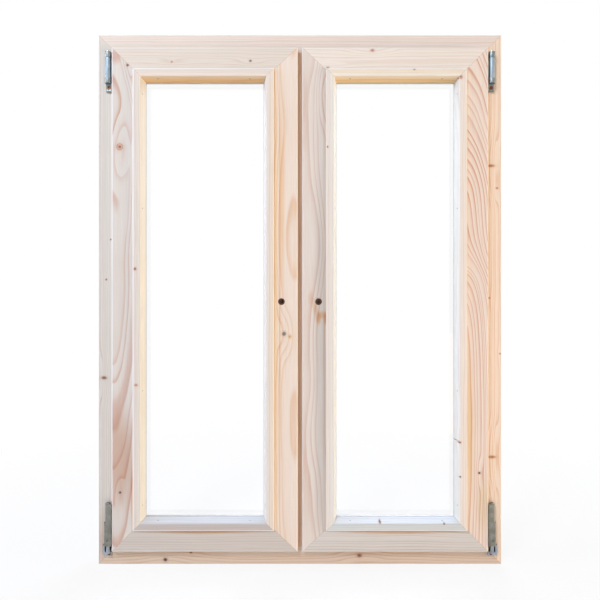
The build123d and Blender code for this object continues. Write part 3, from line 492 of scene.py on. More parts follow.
# ---- Sashes: stiles and rails ------------------------------------------------------------------
# The same pine in rebated 68 mm members, mitred and tenoned, with a rounded lip over the frame.
# The left hinge stile is flat-sawn with wide pink flames; the right one has strong close lines.
LOCK_SLOPE = 79 / 84  # the lock stile is narrower than the rails, so its mitre is off 45 degrees
SASH_MITRES = {
    "left": {"hinge": (-458.5, 1.0), "lock": (-5.25, LOCK_SLOPE)},
    "right": {"hinge": (458.5, 1.0), "lock": (5.25, LOCK_SLOPE)},
}
SASH_HALF = 613.5  # mm, half of a sash's height
# Painted highlights along the front edges of the sashes and beads: white, cream or greyer by side.
EDGE_HIGHLIGHT = "#FFFFFF"
SASH_EDGE_HIGHLIGHTS = {  # its left and right edges
    "left": ((0, -458.5, EDGE_HIGHLIGHT), (0, -5.25, "#FFF1D8")),
    "right": ((0, 5.25, "#E2D8D2"), (0, 458.5, "#FFF1D8")),
}


def level_edge_highlights(half):
    """The painted highlights along the top and the bottom edges, half a height from the middle."""
    return (2, WINDOW_MIDDLE + half, EDGE_HIGHLIGHT), (2, WINDOW_MIDDLE - half, EDGE_HIGHLIGHT)


sash_looks = {
    "left_hinge_stile": dict(
        pale="#DFD8CF", late="#CBA592", ring=5.0, pith=(-30, 58), sway=4, phase=0.45, seed=11,
        drift=((0, 0, 30), (0.25, 0, 17), (0.5, 0, 2), (0.7, 5, 0), (0.85, -3, -4), (1, -10, 4)),
        knots=((-438.3, 1021.4, 8.0, 8.0, PINK_KNOT, 2.2), (-437.3, 181, 2.6, 2.6, DARK_KNOT, 0.8),
               (-419, 1220, 3.0, 3.0, "#8A4F48", 0.6)),
        tints=((-440, 265, 60, 170, "#EBD2C4", 1.0), (-450, 1242, 22, 26, "#EFCFC6", 0.9),
               (-407, 170, 6, 120, "#FAD0A2", 1.0))),
    "left_lock_stile": dict(
        pale="#EEE0D2", late="#E0B589", ring=4.2, pith=(27, 58), sway=1.9, contrast=0.8, seed=12,
        drift=((0, 0, 3), (0.25, 3, -2), (0.45, 0, 2), (0.6, 3, -2), (0.8, -3, 2), (1, 0, -2)),
        knots=((-38.9, 566.8, 4.6, 4.6, GREY_KNOT, 1.4), (-25, 560, 4.2, 4.2, "#E3BC8B", 0.4)),
        # The first two tints are painted warm shade in a strip beside the bead.
        tints=((-60, 650, 8, 900, "#FFF5DE", 1.0), (-49, 650, 2.2, 900, "#F2D2AA", 0.8),
               (-44, 900, 10, 330, "#FBE7CC", 0.8))),
    "left_top_rail": dict(
        pale="#E3DACE", late="#D2BDAA", ring=5.5, pith=(70, 45), sway=4, contrast=0.7, seed=13,
        knots=((-120.6, 1230.5, 3.0, 2.6, GREY_KNOT, 0.6), (-311.7, 1228, 2.4, 2.2, PINK_KNOT, 0.5))),
    "left_bottom_rail": dict(
        pale="#D2CBC2", late="#BAA898", ring=4.8, pith=(-75, 50), sway=4, contrast=0.8, seed=14,
        # Painted warm shade under the bottom bead.
        tints=((-234, 87, 185, 10, PAINTED_WARM_SHADE, 0.8),)),
    "right_hinge_stile": dict(
        pale="#F0E1D3", late="#D39E7E", ring=3.9, pith=(-38, 42), sway=3.5, contrast=1.2, seed=21,
        drift=((0, 0, 2), (0.3, 0, 0), (0.45, 0, 3), (0.52, 0, 12), (0.6, 0, 34), (0.72, 0, 44),
               (0.85, 0, 66), (1, 0, 90)),
        knots=((436, 228.5, 2.6, 2.6, DARK_KNOT, 0.8),),
        # The second tint is painted warm shade beside the bead.
        tints=((446, 150, 26, 90, "#F2EFD6", 0.7), (412, 330, 14, 260, "#F8EAC4", 0.8))),
    "right_lock_stile": dict(
        pale="#E4DBD1", late="#CEA995", ring=4.6, pith=(-32, 60), sway=4, contrast=0.9, seed=22,
        drift=((0, 4, -2), (0.4, -4, 2), (0.6, 4, -2), (0.85, -2, 4), (1, 4, 0)),
        knots=((66, 1147, 3.0, 8.0, PINK_KNOT, 2.0),),
        # The first two tints are painted grey shade on the stile beside the bead.
        tints=((52, 500, 26, 700, "#E6E8E8", 0.8), (61, 650, 8, WHOLE_LENGTH, "#EAE6E2", 0.9),
               (45, 606, 9, 24, "#F6CFA8", 1.0), (54, 613, 12, 14, "#F8DABC", 0.9),
               (62, 604, 7, 24, "#F4C8A4", 1.0), (37, 632, 9, 30, "#F8DFC8", 0.9),
               (26, 652, 9, 26, "#FAE8D8", 0.8))),
    "right_top_rail": dict(
        pale="#EFE6DB", late="#DCC5B2", ring=6.0, pith=(60, 50), sway=7, contrast=0.75, seed=23,
        knots=((176, 1256, 4.6, 3.6, PINK_KNOT, 1.4), (67.8, 1212.5, 4.0, 3.4, PINK_KNOT, 0.8))),
    "right_bottom_rail": dict(
        pale="#D8D4CD", late="#BCA998", ring=5.0, pith=(-65, 45), sway=4, contrast=0.85, seed=24,
        # Painted warm shade under the bottom bead.
        tints=((234, 87, 185, 10, PAINTED_WARM_SHADE, 0.8),)),
}
for node, look in sash_looks.items():
    side, part = node.split("_", 1)
    mitres = SASH_MITRES[side]
    upright = part.endswith("stile")
    corners = (mitres[part.split("_")[0]],) if upright else tuple(mitres.values())
    pine(node, "Z" if upright else "X", corners=corners, half_height=SASH_HALF,
         arrises=SASH_EDGE_HIGHLIGHTS[side] + level_edge_highlights(SASH_HALF), **look)

# ---- Glazing beads -----------------------------------------------------------------------------
# Slim pine mouldings, mitred round each pane on the room side, with a flange over the sash face
# and a reveal that slopes in to the glass. Straight-grained and pale, with a few pin knots.
BEAD_HALF = 560.5  # mm, half of the height over the beads
BEAD_MITRES = {"left": ((-405.5, 1.0), (-63.25, 1.0)), "right": ((405.5, 1.0), (63.25, 1.0))}
# Painted warm shade on the top beads' downward-facing reveals.
REVEAL_WARM_SHADE = "#FFDDA6"
BEAD_EDGE_HIGHLIGHTS = {
    "left": ((0, -405.5, EDGE_HIGHLIGHT), (0, -63.25, "#FFEFD2")),
    "right": ((0, 63.25, "#E4DACE"), (0, 405.5, "#FFEFD2")),
}
bead_looks = {
    "left_bead_hinge_side": dict(
        pale="#EBE7D6", late="#D8C6B0", seed=31, tints=((-404, 650, 24, WHOLE_LENGTH, "#F5F0F8", 1.0),),
        knots=((-399.4, 724.5, 3.0, 3.4, RED_KNOT, 0.8), (-397, 443, 4.0, 3.0, PINK_KNOT, 0.4))),
    "left_bead_lock_side": dict(
        pale="#E9E3DC", late="#D9C2AE", seed=32, tints=((-66, 650, 22, WHOLE_LENGTH, "#FFFAF2", 1.0),)),
    "left_bead_top": dict(
        pale="#F3E5D6", late="#E0C8B2", seed=33,
        # The first tint is painted warm shade on the downward-facing reveal.
        tints=((-234, 1185.5, 900, 8.5, REVEAL_WARM_SHADE, 1.0), (-234, 1208, 900, 20, "#F0F4F8", 1.0))),
    "left_bead_bottom": dict(
        # The blue-grey pale is painted cool light from above on the upward-facing reveal; the tint warms
        # the front again near the outer edge.
        pale="#CACFD5", late="#B4A39A", seed=34, tints=((-234, 92, 900, 23, "#FBE9D9", 1.0),)),
    "right_bead_hinge_side": dict(
        # The tint is painted cool light on the reveal, which faces the cool lamp.
        pale="#F0E6DB", late="#DCC5B0", seed=35, tints=((368, 650, 26, WHOLE_LENGTH, "#ECFAFF", 1.0),),
        knots=((389, 1189, 4.6, 4.6, PINK_KNOT, 0.8), (387, 304, 2.6, 2.2, RED_KNOT, 0.4),
               (388, 221, 1.8, 1.8, DARK_KNOT, 0.3), (380, 307, 5.0, 0.8, RED_KNOT, 0.1))),
    "right_bead_lock_side": dict(
        pale="#E8EDE9", late="#D6C9BC", seed=36, tints=((64, 650, 22, WHOLE_LENGTH, "#FFF2EC", 1.0),),
        knots=((66, 1020, 2.4, 2.4, RED_KNOT, 0.4),)),
    "right_bead_top": dict(
        pale="#F7F2E7", late="#E4D1BE", seed=37, knots=((277, 1208, 2.6, 2.4, RED_KNOT, 0.4),),
        # The first tint is painted warm shade on the downward-facing reveal.
        tints=((234, 1185.5, 900, 8.5, REVEAL_WARM_SHADE, 1.0), (234, 1208, 900, 20, "#F6EEE2", 1.0))),
    "right_bead_bottom": dict(
        # The blue-grey pale is painted cool light from above on the upward-facing reveal.
        pale="#D3DAE1", late="#BDACA0", seed=38, tints=((234, 92, 900, 23, "#FFFFF4", 1.0),),
        knots=((194, 110, 2.6, 2.2, BROWN_KNOT, 0.4), (349, 107, 2.2, 2.0, BROWN_KNOT, 0.3))),
}
for node, look in bead_looks.items():
    side, part = node.split("_bead_")
    upright = part.endswith("side")
    corners = BEAD_MITRES[side]
    if upright:
        corners = corners[:1] if part.startswith("hinge") else corners[1:]
    pine(node, "Z" if upright else "X", ring=4.2, pith=(60, 30) if upright else (-60, 40), sway=2.5,
         contrast=0.55, corners=corners, half_height=BEAD_HALF, tint_depth=100,
         arrises=BEAD_EDGE_HIGHLIGHTS[side] + level_edge_highlights(BEAD_HALF), **look)

# ---- Glass units -------------------------------------------------------------------------------
# Two 4 mm panes of float glass on a perforated aluminium spacer, sealed at the rim, stood on
# plastic setting blocks and bedded in pale grey foam tape, which the beads and lips all but hide.
SEALANT_AND_BAR = 10.6  # mm, from the unit's edge to the spacer's inner face
PERFORATION_RADIUS = 0.5
PERFORATION_PITCH = 5.0
PERFORATION_ROW = 2.4  # each side of the bar's middle
PUNCH_PROUD = 0.02  # a hair in front of the bar's face
PUNCH_SIDES = 8
CELL_STRENGTH = 0.4

# Float glass is clear and smooth, so that little but its reflections shows. Its shadow is let
# through almost whole, as it is by a thin pane.
glass, tree, shader = material("clear_float_glass")
feed(tree, shader, {
    "Base Color": linear("#FFFFFF"), "Roughness": 0.0, "IOR": 1.52, "Transmission Weight": 1.0})
clear = add(tree, "BsdfTransparent", {"Color": linear("#FDFEFE")})
shadow = add(tree, "LightPath").outputs["Is Shadow Ray"]
pane = add(tree, "MixShader", shadow, shader, clear)
output = next(node for node in tree.nodes if node.type == "OUTPUT_MATERIAL")
feed(tree, output, {"Surface": pane})


def plastic(name, colour, dark, roughness, scale, depth_mm):
    """Moulded, foamed or extruded plastic: a fine cellular grain over an even colour."""
    made, tree, shader = material(name)
    coordinates = add(tree, "TexCoord").outputs["Object"]
    cells = add(tree, "TexVoronoi", {"Vector": coordinates, "Scale": scale}).outputs["Distance"]
    cloud = add(tree, "TexNoise", {"Vector": coordinates, "Scale": CLOUD_SCALE, "Detail": 2.0})
    tone = blend(tree, cloud, linear(dark), linear(colour))
    bump = add(tree, "Bump", {"Height": cells, "Strength": CELL_STRENGTH, "Distance": depth_mm * MM})
    feed(tree, shader, {"Base Color": tone, "Normal": bump, "Roughness": roughness})
    return made


def new_tree(name, sockets):
    """A geometry tree with its geometry ends and named inputs, and its input and output nodes."""
    tree = bpy.data.node_groups.new(name, "GeometryNodeTree")
    tree.interface.new_socket("Geometry", in_out="OUTPUT", socket_type="NodeSocketGeometry")
    tree.interface.new_socket("Geometry", in_out="INPUT", socket_type="NodeSocketGeometry")
    for label, kind in sockets.items():
        tree.interface.new_socket(label, in_out="INPUT", socket_type="NodeSocket" + kind)
    return tree, add(tree, "NodeGroupInput").outputs, add(tree, "NodeGroupOutput")


def end_tree(tree, given, result, geometry):
    """Ends a geometry tree: its instances made real, in its finish."""
    whole = add(tree, "GeometryNodeRealizeInstances", {"Geometry": geometry})
    whole = {"Geometry": whole, "Material": given["Finish"]}
    feed(tree, result, {0: add(tree, "GeometryNodeSetMaterial", whole)})


def grown(name, tree, base, values):
    """The plain mesh object that a tree makes of a base mesh, with the tree's named inputs set."""
    item = bpy.data.objects.new(name, base)
    scene.collection.objects.link(item)
    modifier = item.modifiers.new("growth", "NODES")
    modifier.node_group = tree
    for socket in tree.interface.items_tree:
        if socket.name in values:
            modifier[socket.identifier] = values[socket.name]
    graph = bpy.context.evaluated_depsgraph_get()
    mesh = bpy.data.meshes.new_from_object(item.evaluated_get(graph))
    item.modifiers.remove(modifier)
    mesh.polygons.foreach_set("material_index", [0] * len(mesh.polygons))
    mesh.materials.clear()
    mesh.materials.append(values["Finish"])
    item.data = mesh
    return item


def rim_mesh(name, low, high, inset, y):
    """A closed line round the box of a ring, inset from its edges, at one depth. All in metres."""
    left, right, bottom, top = low.x + inset, high.x - inset, low.z + inset, high.z - inset
    corners = [(left, y, bottom), (right, y, bottom), (right, y, top), (left, y, top)]
    mesh = bpy.data.meshes.new(name)
    mesh.from_pydata(corners, [(0, 1), (1, 2), (2, 3), (3, 0)], [])
    return mesh


# The spacer's inner face is pierced by two rows of punched holes that lead to its drying agent.
punches, given, result = new_tree(
    "punched_rows", {"Radius": "Float", "Pitch": "Float", "Row": "Float", "Finish": "Material"})
path = add(punches, "GeometryNodeMeshToCurve", {"Mesh": given["Geometry"]})
path = add(punches, "GeometryNodeResampleCurve", {"Curve": path, "Length": given["Pitch"]}, mode="LENGTH")
hole = {"Vertices": PUNCH_SIDES, "Radius": given["Radius"]}
hole = add(punches, "GeometryNodeMeshCircle", hole, fill_type="NGON")
tangent = add(punches, "GeometryNodeInputTangent")
inward = add(punches, "VectorMath CROSS_PRODUCT", tangent, (0, 1, 0))
facing = add(punches, "FunctionNodeAlignRotationToVector", {"Vector": inward}, axis="Z")
holes = {"Points": path, "Instance": hole, "Rotation": facing}
holes = add(punches, "GeometryNodeInstanceOnPoints", holes)
rows = add(punches, "GeometryNodeJoinGeometry")
for way in (-1, 1):
    shift = add(punches, "Math MULTIPLY", given["Row"], way)
    shift = add(punches, "CombineXYZ", {1: shift})
    row = add(punches, "GeometryNodeTransform", {"Geometry": holes, "Translation": shift})
    punches.links.new(row.outputs[0], rows.inputs[0])
end_tree(punches, given, result, rows)

# The rolled spacer is matt, and its holes are dark discs, painted shade of the hollows behind them.
# The foam is dull, and the blocks are blue moulded polypropylene with a soft gloss.
spacer_metal = metal("rolled_aluminium_spacer", "#CFD2D4", "#B9BDC0", 0.42, (300, 300, 300))
hole_shade_discs = plastic("shaded_punched_hole", "#3A3B3C", "#2E2F30", 0.9, 900.0, 0.02)
foam = plastic("grey_foam_tape", "#B7B5B0", "#9F9D98", 0.85, 1600.0, 0.2)
blocks = plastic("moulded_polypropylene_blocks", "#4F79A8", "#3F6796", 0.45, 900.0, 0.05)
for side in ("left", "right"):
    paint(f"{side}_glass_panes", glass)
    paint(f"{side}_glass_spacer", spacer_metal)
    paint(f"{side}_glazing_tapes", foam)
    paint(f"{side}_setting_blocks", blocks)
    low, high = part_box(f"{side}_glass_spacer")
    inset = (SEALANT_AND_BAR + PUNCH_PROUD) * MM
    line = rim_mesh(f"{side}_spacer_line", low, high, inset, (low.y + high.y) / 2)
    holes = grown(f"{side}_spacer_perforations", punches, line, {
        "Radius": PERFORATION_RADIUS * MM, "Pitch": PERFORATION_PITCH * MM, "Row": PERFORATION_ROW * MM,
        "Finish": hole_shade_discs})
    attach(holes, f"{side}_sash")

# ---- Sash gaskets ------------------------------------------------------------------------------
# A brown rubber strip, extruded, with a barbed foot pushed into a groove round the back of the
# sash and a thin fin that lies over the frame's first stop. It is matt, and bent round the corners.
GASKET_BEND = 9.0  # mm, the radius at a corner
BEND_STEPS = 6
# The section, in mm: in from the fin's outer edge, and back from the foot's front.
GASKET_SECTION = (
    (0.1, 4.15), (0.5, 4.4), (6.6, 4.4), (8.0, 4.2), (8.5, 3.75), (7.9, 3.55), (8.5, 2.7), (7.8, 2.3),
    (8.4, 1.2), (7.1, 0.05), (5.8, 1.2), (6.4, 2.3), (5.7, 2.7), (6.3, 3.55), (0.6, 3.65), (0.1, 3.9),
)

sweep, given, result = new_tree("bent_strip", {"Section": "Object", "Bend": "Float", "Finish": "Material"})
path = add(sweep, "GeometryNodeMeshToCurve", {"Mesh": given["Geometry"]})
path = {"Curve": path, "Count": BEND_STEPS, "Radius": given["Bend"]}
path = add(sweep, "GeometryNodeFilletCurve", path, mode="POLY")
path = add(sweep, "GeometryNodeSetCurveNormal", {"Curve": path, "Normal": (0, -1, 0)}, mode="FREE")
section_mesh = bpy.data.meshes.new("gasket_section")
edges = [(i, (i + 1) % len(GASKET_SECTION)) for i in range(len(GASKET_SECTION))]
section_mesh.from_pydata([(-back * MM, -inward * MM, 0) for inward, back in GASKET_SECTION], edges, [])
section_item = bpy.data.objects.new("gasket_section", section_mesh)
scene.collection.objects.link(section_item)
section = add(sweep, "GeometryNodeObjectInfo", {"Object": given["Section"]}).outputs["Geometry"]
section = add(sweep, "GeometryNodeMeshToCurve", {"Mesh": section})
strip = add(sweep, "GeometryNodeCurveToMesh", {"Curve": path, "Profile Curve": section})
end_tree(sweep, given, result, strip)

rubber = plastic("extruded_brown_rubber", "#5A4130", "#473224", 0.6, 700.0, 0.04)
for side in ("left", "right"):
    node = f"{side}_sash_gasket"
    low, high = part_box(node)
    strip = grown(f"{node}_strip", sweep, rim_mesh(f"{node}_line", low, high, 0.0, low.y), {
        "Section": section_item, "Bend": GASKET_BEND * MM, "Finish": rubber})
    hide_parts(node)
    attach(strip, f"{side}_sash")
bpy.data.objects.remove(section_item)

# ---- Hinges ------------------------------------------------------------------------------------
# Upper hinge: a bearing on the jamb, a turned pin and the sash arm's barrel between its knuckles.
# Lower hinge: a cast corner hinge on a pivot rest. Steel and die-cast zinc, plated and pinned.
MERGE = 0.002  # mm, how near two corners of a facet are one
FLAT_ANGLE = 0.5  # degrees, below which two facets are one face
ARRIS_ANGLE = 35  # degrees, above which an edge is broken
ARRIS_STEPS, ARRIS_ROUNDNESS = 2, 0.6
CREASE_ANGLE = 28  # degrees, above which the shading breaks
PIVOT_RECESS_Y, PIVOT_FOOT_Z = -38.5, 31.0  # mm, painted shade lies behind the one and above the other


def shade(mesh):
    """Smooth shading that breaks at the creases."""
    mesh.polygons.foreach_set("use_smooth", [True] * len(mesh.polygons))
    mesh.set_sharp_from_angle(angle=math.radians(CREASE_ANGLE))


def softened(node, body, made, edge=0.35):
    """A copy of a node with its facets merged and its arrises broken, which stands for the node."""
    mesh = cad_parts[node].data.copy()
    normals = mesh.attributes.get("custom_normal")
    if normals:
        mesh.attributes.remove(normals)
    work = bmesh.new()
    work.from_mesh(mesh)
    bmesh.ops.remove_doubles(work, verts=work.verts, dist=MERGE * MM)
    flat = math.radians(FLAT_ANGLE)
    bmesh.ops.dissolve_limit(work, angle_limit=flat, verts=work.verts, edges=work.edges)
    sharp = math.radians(ARRIS_ANGLE)
    arrises = [e for e in work.edges if len(e.link_faces) == 2 and e.calc_face_angle(0) > sharp]
    bmesh.ops.bevel(work, geom=arrises, offset=edge * MM, segments=ARRIS_STEPS, profile=ARRIS_ROUNDNESS,
                    affect="EDGES", clamp_overlap=True)
    work.to_mesh(mesh)
    work.free()
    mesh.materials.clear()
    mesh.materials.append(made)
    shade(mesh)
    piece = bpy.data.objects.new(f"{node}_finished", mesh)
    scene.collection.objects.link(piece)
    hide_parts(node)
    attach(piece, body)


# The arm's zinc is a soft cool blue, partly the passivation's own tint and partly a painted reflection
# of a blue sky. The bearing's is plain grey and the pivot rest's shines. The die-cast hinge is dull
# and finely pitted, and the turned pins are bright.
PLATE_GRAIN = (260, 260, 90)
blue_zinc = metal("passivated_zinc_with_painted_sky_blue", "#99A9B4", "#8797A2", 0.54, PLATE_GRAIN, 0.003, 0.03)
bright_zinc = metal("bright_zinc_plated_steel", "#8B9496", "#747C7E", 0.44, PLATE_GRAIN, 0.003, 0.03)
# Its recess is painted with shade, behind the posts and above their feet.
polished_zinc = metal("polished_zinc_plated_steel", "#AEB4BC", "#8E949C", 0.2, PLATE_GRAIN, 0.003, 0.03,
                      shaded_recess=(PIVOT_RECESS_Y, PIVOT_FOOT_Z))
dull_zinc = metal("dull_zinc_die_casting", "#8F908A", "#76776F", 0.52, (420, 420, 420), 0.1, share=0.8)
turned_steel = metal("turned_steel", "#C9CBCC", "#B4B7B9", 0.22, (40, 40, 1200), 0.02)
for side in ("left", "right"):
    softened(f"upper_bearing_{side}", "frame", bright_zinc)
    softened(f"pivot_rest_{side}", "frame", polished_zinc, 0.3)
    softened(f"{side}_upper_hinge_arm", f"{side}_sash", blue_zinc, 0.4)
    softened(f"{side}_lower_hinge", f"{side}_sash", dull_zinc, 0.45)
softened("upper_hinge_pins", "frame", turned_steel, 0.4)

# ---- Locks -------------------------------------------------------------------------------------
# A rebated faceplate and case in each lock stile; the handle's square turns a toothed follower that
# moves the rod and its four cams behind the strikers. The plated steel is pale and satin, and the
# case and follower, sintered and soaked in oil, are brown and dark.
lock_zinc = metal("zinc_plated_lock_steel", "#BFC3C4", "#A7ACAE", 0.36, (200, 200, 60))
oiled_steel = metal("oiled_sintered_steel", "#7A5A52", "#5C423C", 0.3, (500, 500, 500), 0.02)
for side in ("left", "right"):
    softened(f"{side}_lock_faceplate", f"{side}_sash", lock_zinc, 0.25)
    softened(f"{side}_lock_rod", f"{side}_lock_rod", lock_zinc, 0.15)
    paint(f"{side}_lock_case", oiled_steel)
    paint(f"{side}_lock_follower", oiled_steel)
softened("lock_strikers", "frame", lock_zinc, 0.3)

# ---- Screws ------------------------------------------------------------------------------------
# Countersunk wood screws with a cross recess and a rolled thread, in hardened steel. Their yellow
# passivated plating has darkened to brown. Each one is turned home as it fell.
SCREW_SINKS = {3.8: 2.2, 5.0: 2.6, 3.4: 1.9, 3.2: 1.8}  # mm, the head's depth, by head radius
SCREW_SHANKS = {3.8: 1.9, 5.0: 2.4, 3.4: 1.6, 3.2: 1.5}  # the thread's radius
CORE_SHARE = 0.72  # the core's radius, as a share of the thread's
TIP_SHARE = 1.6  # the point's length, in thread radii
TIP_RADIUS = 0.05
THREAD_PITCH = 1.6
THREAD_STEPS, THREAD_SIDES = 10, 3  # steps a turn, and sides of its ridge
RECESS_REACH, RECESS_WIDTH, RECESS_DEPTH = 0.62, 0.2, 0.42  # shares of the head's radius
HEAD_SIDES, SHANK_SIDES = 32, 12
TURN_SEED = 7
RIM_DEPTH = 0.01  # mm, how far a flat head's face may be from flat


def seats(node):
    """Each fastener's seat in a node: its head's middle, the way that looks, length and head radius."""
    work = bmesh.new()
    work.from_mesh(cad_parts[node].data)
    bmesh.ops.remove_doubles(work, verts=work.verts, dist=MERGE * MM)
    waiting, found = set(work.verts), []
    while waiting:
        island, queue = [], [waiting.pop()]
        while queue:
            corner = queue.pop()
            island.append(corner)
            near = {edge.other_vert(corner) for edge in corner.link_edges} & waiting
            waiting -= near
            queue.extend(near)
        areas = {}
        for face in {face for corner in island for face in corner.link_faces}:
            way = tuple(round(part, 2) for part in face.normal)
            areas[way] = areas.get(way, 0) + face.calc_area()
        axis = Vector(max(areas, key=areas.get)).normalized()
        ends = []
        for way in (axis, -axis):
            top = max(corner.co.dot(way) for corner in island)
            rim = [corner.co for corner in island if corner.co.dot(way) > top - RIM_DEPTH * MM]
            spot = sum(sorted(rim, key=tuple), Vector()) / len(rim)
            ends.append((max((co - spot).length for co in rim), top, way, spot))
        radius, top, way, spot = max(ends, key=lambda end: end[0])
        length = top + max(corner.co.dot(-way) for corner in island)
        found.append((spot, way, length, radius))
    work.free()
    return sorted(found, key=lambda seat: [round(part, 4) for part in seat[0]])


def seat_mesh(name, places):
    """Points on which fasteners are set, each with the way that its head looks."""
    mesh = bpy.data.meshes.new(name)
    mesh.from_pydata([spot for spot, way, length, radius in places], [], [])
    looks = mesh.attributes.new("looks", "FLOAT_VECTOR", "POINT")
    looks.data.foreach_set("vector", [part for spot, way, length, radius in places for part in way])
    return mesh


def set_on_seats(tree, given, result, fastener):
    """Ends a tree: the fastener, made along Z, stands on each point as its seat looks, turned by chance."""
    looks = add(tree, "GeometryNodeInputNamedAttribute", {"Name": "looks"}, data_type="FLOAT_VECTOR")
    upright = add(tree, "FunctionNodeAlignRotationToVector", {"Vector": looks}, axis="Z")
    turn = {"Min": 0.0, "Max": 2 * math.pi, "Seed": given["Turn seed"]}
    turn = add(tree, "FunctionNodeRandomValue", turn, data_type="FLOAT")
    turn = add(tree, "FunctionNodeAxisAngleToRotation", {"Axis": (0, 0, 1), "Angle": turn})
    turned = {"Rotation": upright, "Rotate By": turn}
    turned = add(tree, "FunctionNodeRotateRotation", turned, rotation_space="LOCAL")
    whole = {"Points": given["Geometry"], "Instance": fastener, "Rotation": turned}
    end_tree(tree, given, result, add(tree, "GeometryNodeInstanceOnPoints", whole))


def rod(tree, sides, wide, narrow, length, height):
    """A rod or a cone on Z, from its top and bottom radii, its length and the height of its bottom."""
    form = {"Vertices": sides, "Radius Top": wide, "Radius Bottom": narrow, "Depth": length}
    form = add(tree, "GeometryNodeMeshCone", form).outputs["Mesh"]
    lift = add(tree, "CombineXYZ", {2: height})
    return add(tree, "GeometryNodeTransform", {"Geometry": form, "Translation": lift})


def fasten(node, body, items):
    """Joins the grown fasteners of a node into one mesh that stands for the node."""
    work = bmesh.new()
    for item in items:
        work.from_mesh(item.data)
    mesh = items[0].data
    work.to_mesh(mesh)
    work.free()
    for item in items[1:]:
        bpy.data.objects.remove(item)
    shade(mesh)
    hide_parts(node)
    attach(items[0], body)


screws, given, result = new_tree("wood_screws", {
    "Head": "Float", "Sink": "Float", "Thread": "Float", "Length": "Float", "Pitch": "Float",
    "Turn seed": "Int", "Finish": "Material"})
core = add(screws, "Math MULTIPLY", given["Thread"], CORE_SHARE)
tip = add(screws, "Math MULTIPLY", given["Thread"], TIP_SHARE)
bottom = add(screws, "Math MULTIPLY", given["Length"], -1.0)
under_head = add(screws, "Math MULTIPLY", given["Sink"], -1.0)
head = rod(screws, HEAD_SIDES, given["Head"], core, given["Sink"], under_head)
reach = add(screws, "Math MULTIPLY", given["Head"], 2 * RECESS_REACH)
width = add(screws, "Math MULTIPLY", given["Head"], RECESS_WIDTH)
depth = add(screws, "Math MULTIPLY", given["Head"], 2 * RECESS_DEPTH)
cut = add(screws, "GeometryNodeMeshBoolean DIFFERENCE", {"Mesh 1": head})
for across, along in ((reach, width), (width, reach)):
    size = add(screws, "CombineXYZ", across, along, depth)
    slot = add(screws, "GeometryNodeMeshCube", {"Size": size}).outputs["Mesh"]
    screws.links.new(slot, cut.inputs["Mesh 2"])
point = rod(screws, SHANK_SIDES, core, TIP_RADIUS * MM, tip, bottom)
straight = add(screws, "Math SUBTRACT", given["Length"], given["Sink"])
straight = add(screws, "Math SUBTRACT", straight, tip)
above_tip = add(screws, "Math ADD", bottom, tip)
shank = rod(screws, SHANK_SIDES, core, core, straight, above_tip)
turns = add(screws, "Math DIVIDE", straight, given["Pitch"])
spiral = {"Resolution": THREAD_STEPS, "Rotations": turns, "Start Radius": core, "End Radius": core,
          "Height": straight}
spiral = {"Geometry": add(screws, "GeometryNodeCurveSpiral", spiral),
          "Translation": add(screws, "CombineXYZ", {2: above_tip})}
spiral = add(screws, "GeometryNodeTransform", spiral)
ridge = add(screws, "Math MULTIPLY", given["Thread"], 1 - CORE_SHARE)
ridge = {"Resolution": THREAD_SIDES, "Radius": ridge}
ridge = add(screws, "GeometryNodeCurvePrimitiveCircle", ridge).outputs["Curve"]
thread = {"Curve": spiral, "Profile Curve": ridge, "Fill Caps": True}
thread = add(screws, "GeometryNodeCurveToMesh", thread)
screw = add(screws, "GeometryNodeJoinGeometry")
for piece in (cut, point, shank, thread):
    screws.links.new(piece.outputs[0], screw.inputs[0])
set_on_seats(screws, given, result, screw)

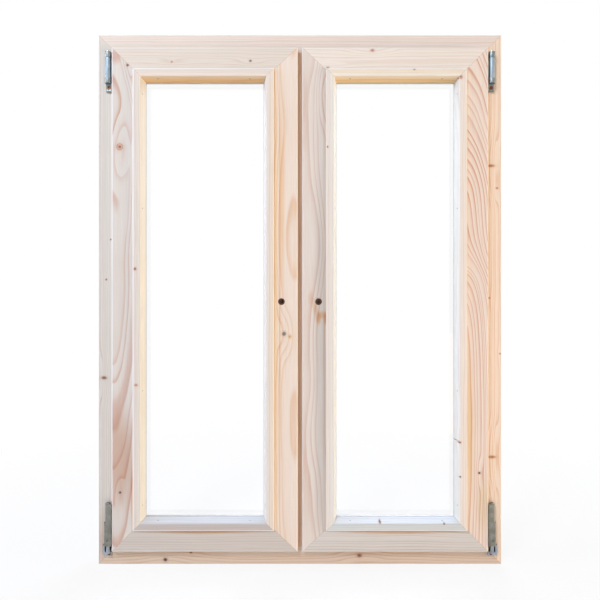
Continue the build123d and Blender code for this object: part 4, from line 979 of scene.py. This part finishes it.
passivated = metal("yellow_passivated_steel", "#85604A", "#604332", 0.4, (500, 500, 500), 0.01)
for node, body in (("frame_hardware_screws", "frame"), ("left_hardware_screws", "left_sash"),
                   ("right_hardware_screws", "right_sash")):
    kinds = {}
    for seat in seats(node):
        head = min(SCREW_SINKS, key=lambda radius: abs(radius * MM - seat[3]))
        kinds.setdefault(head, []).append(seat)
    items = [
        grown(f"{node}_turned_home_{index}", screws, seat_mesh(f"{node}_seats_{index}", places), {
            "Head": head * MM, "Sink": SCREW_SINKS[head] * MM, "Thread": SCREW_SHANKS[head] * MM,
            "Length": places[0][2], "Pitch": THREAD_PITCH * MM, "Turn seed": TURN_SEED,
            "Finish": passivated})
        for index, (head, places) in enumerate(sorted(kinds.items()))
    ]
    fasten(node, body, items)

# ---- Brads -------------------------------------------------------------------------------------
# Fine drawn-wire brads with small flat heads, shot through the beads' reveals into the stiles and
# rails and set just under the wood. The bare steel is dull, so they look like grey dots.
BRAD_HEAD, BRAD_WIRE, BRAD_CAP, BRAD_POINT = 1.3, 0.8, 0.8, 2.4  # mm, two radii and two lengths
BRAD_HEAD_SIDES, BRAD_WIRE_SIDES = 20, 10

brad_tree, given, result = new_tree("drawn_brads", {
    "Head": "Float", "Wire": "Float", "Cap": "Float", "Point": "Float", "Length": "Float",
    "Turn seed": "Int", "Finish": "Material"})
bottom = add(brad_tree, "Math MULTIPLY", given["Length"], -1.0)
above_point = add(brad_tree, "Math ADD", bottom, given["Point"])
below_cap = add(brad_tree, "Math MULTIPLY", given["Cap"], -1.0)
wire_length = add(brad_tree, "Math SUBTRACT", below_cap, above_point)
brad = add(brad_tree, "GeometryNodeJoinGeometry")
for sides, wide, narrow, depth, at in (
    (BRAD_HEAD_SIDES, given["Head"], given["Head"], given["Cap"], below_cap),
    (BRAD_WIRE_SIDES, given["Wire"], given["Wire"], wire_length, above_point),
    (BRAD_WIRE_SIDES, given["Wire"], TIP_RADIUS * MM, given["Point"], bottom),
):
    form = rod(brad_tree, sides, wide, narrow, depth, at)
    brad_tree.links.new(form.outputs[0], brad.inputs[0])
set_on_seats(brad_tree, given, result, brad)

wire = metal("bright_wire_brads", "#8C8178", "#6F665E", 0.45, (500, 500, 500), 0.02)
for side in ("left", "right"):
    node = f"{side}_bead_brads"
    places = seats(node)
    brads = grown(f"{node}_driven", brad_tree, seat_mesh(f"{node}_seats", places), {
        "Head": BRAD_HEAD * MM, "Wire": BRAD_WIRE * MM, "Cap": BRAD_CAP * MM, "Point": BRAD_POINT * MM,
        "Length": places[0][2], "Turn seed": TURN_SEED, "Finish": wire})
    fasten(node, f"{side}_sash", [brads])
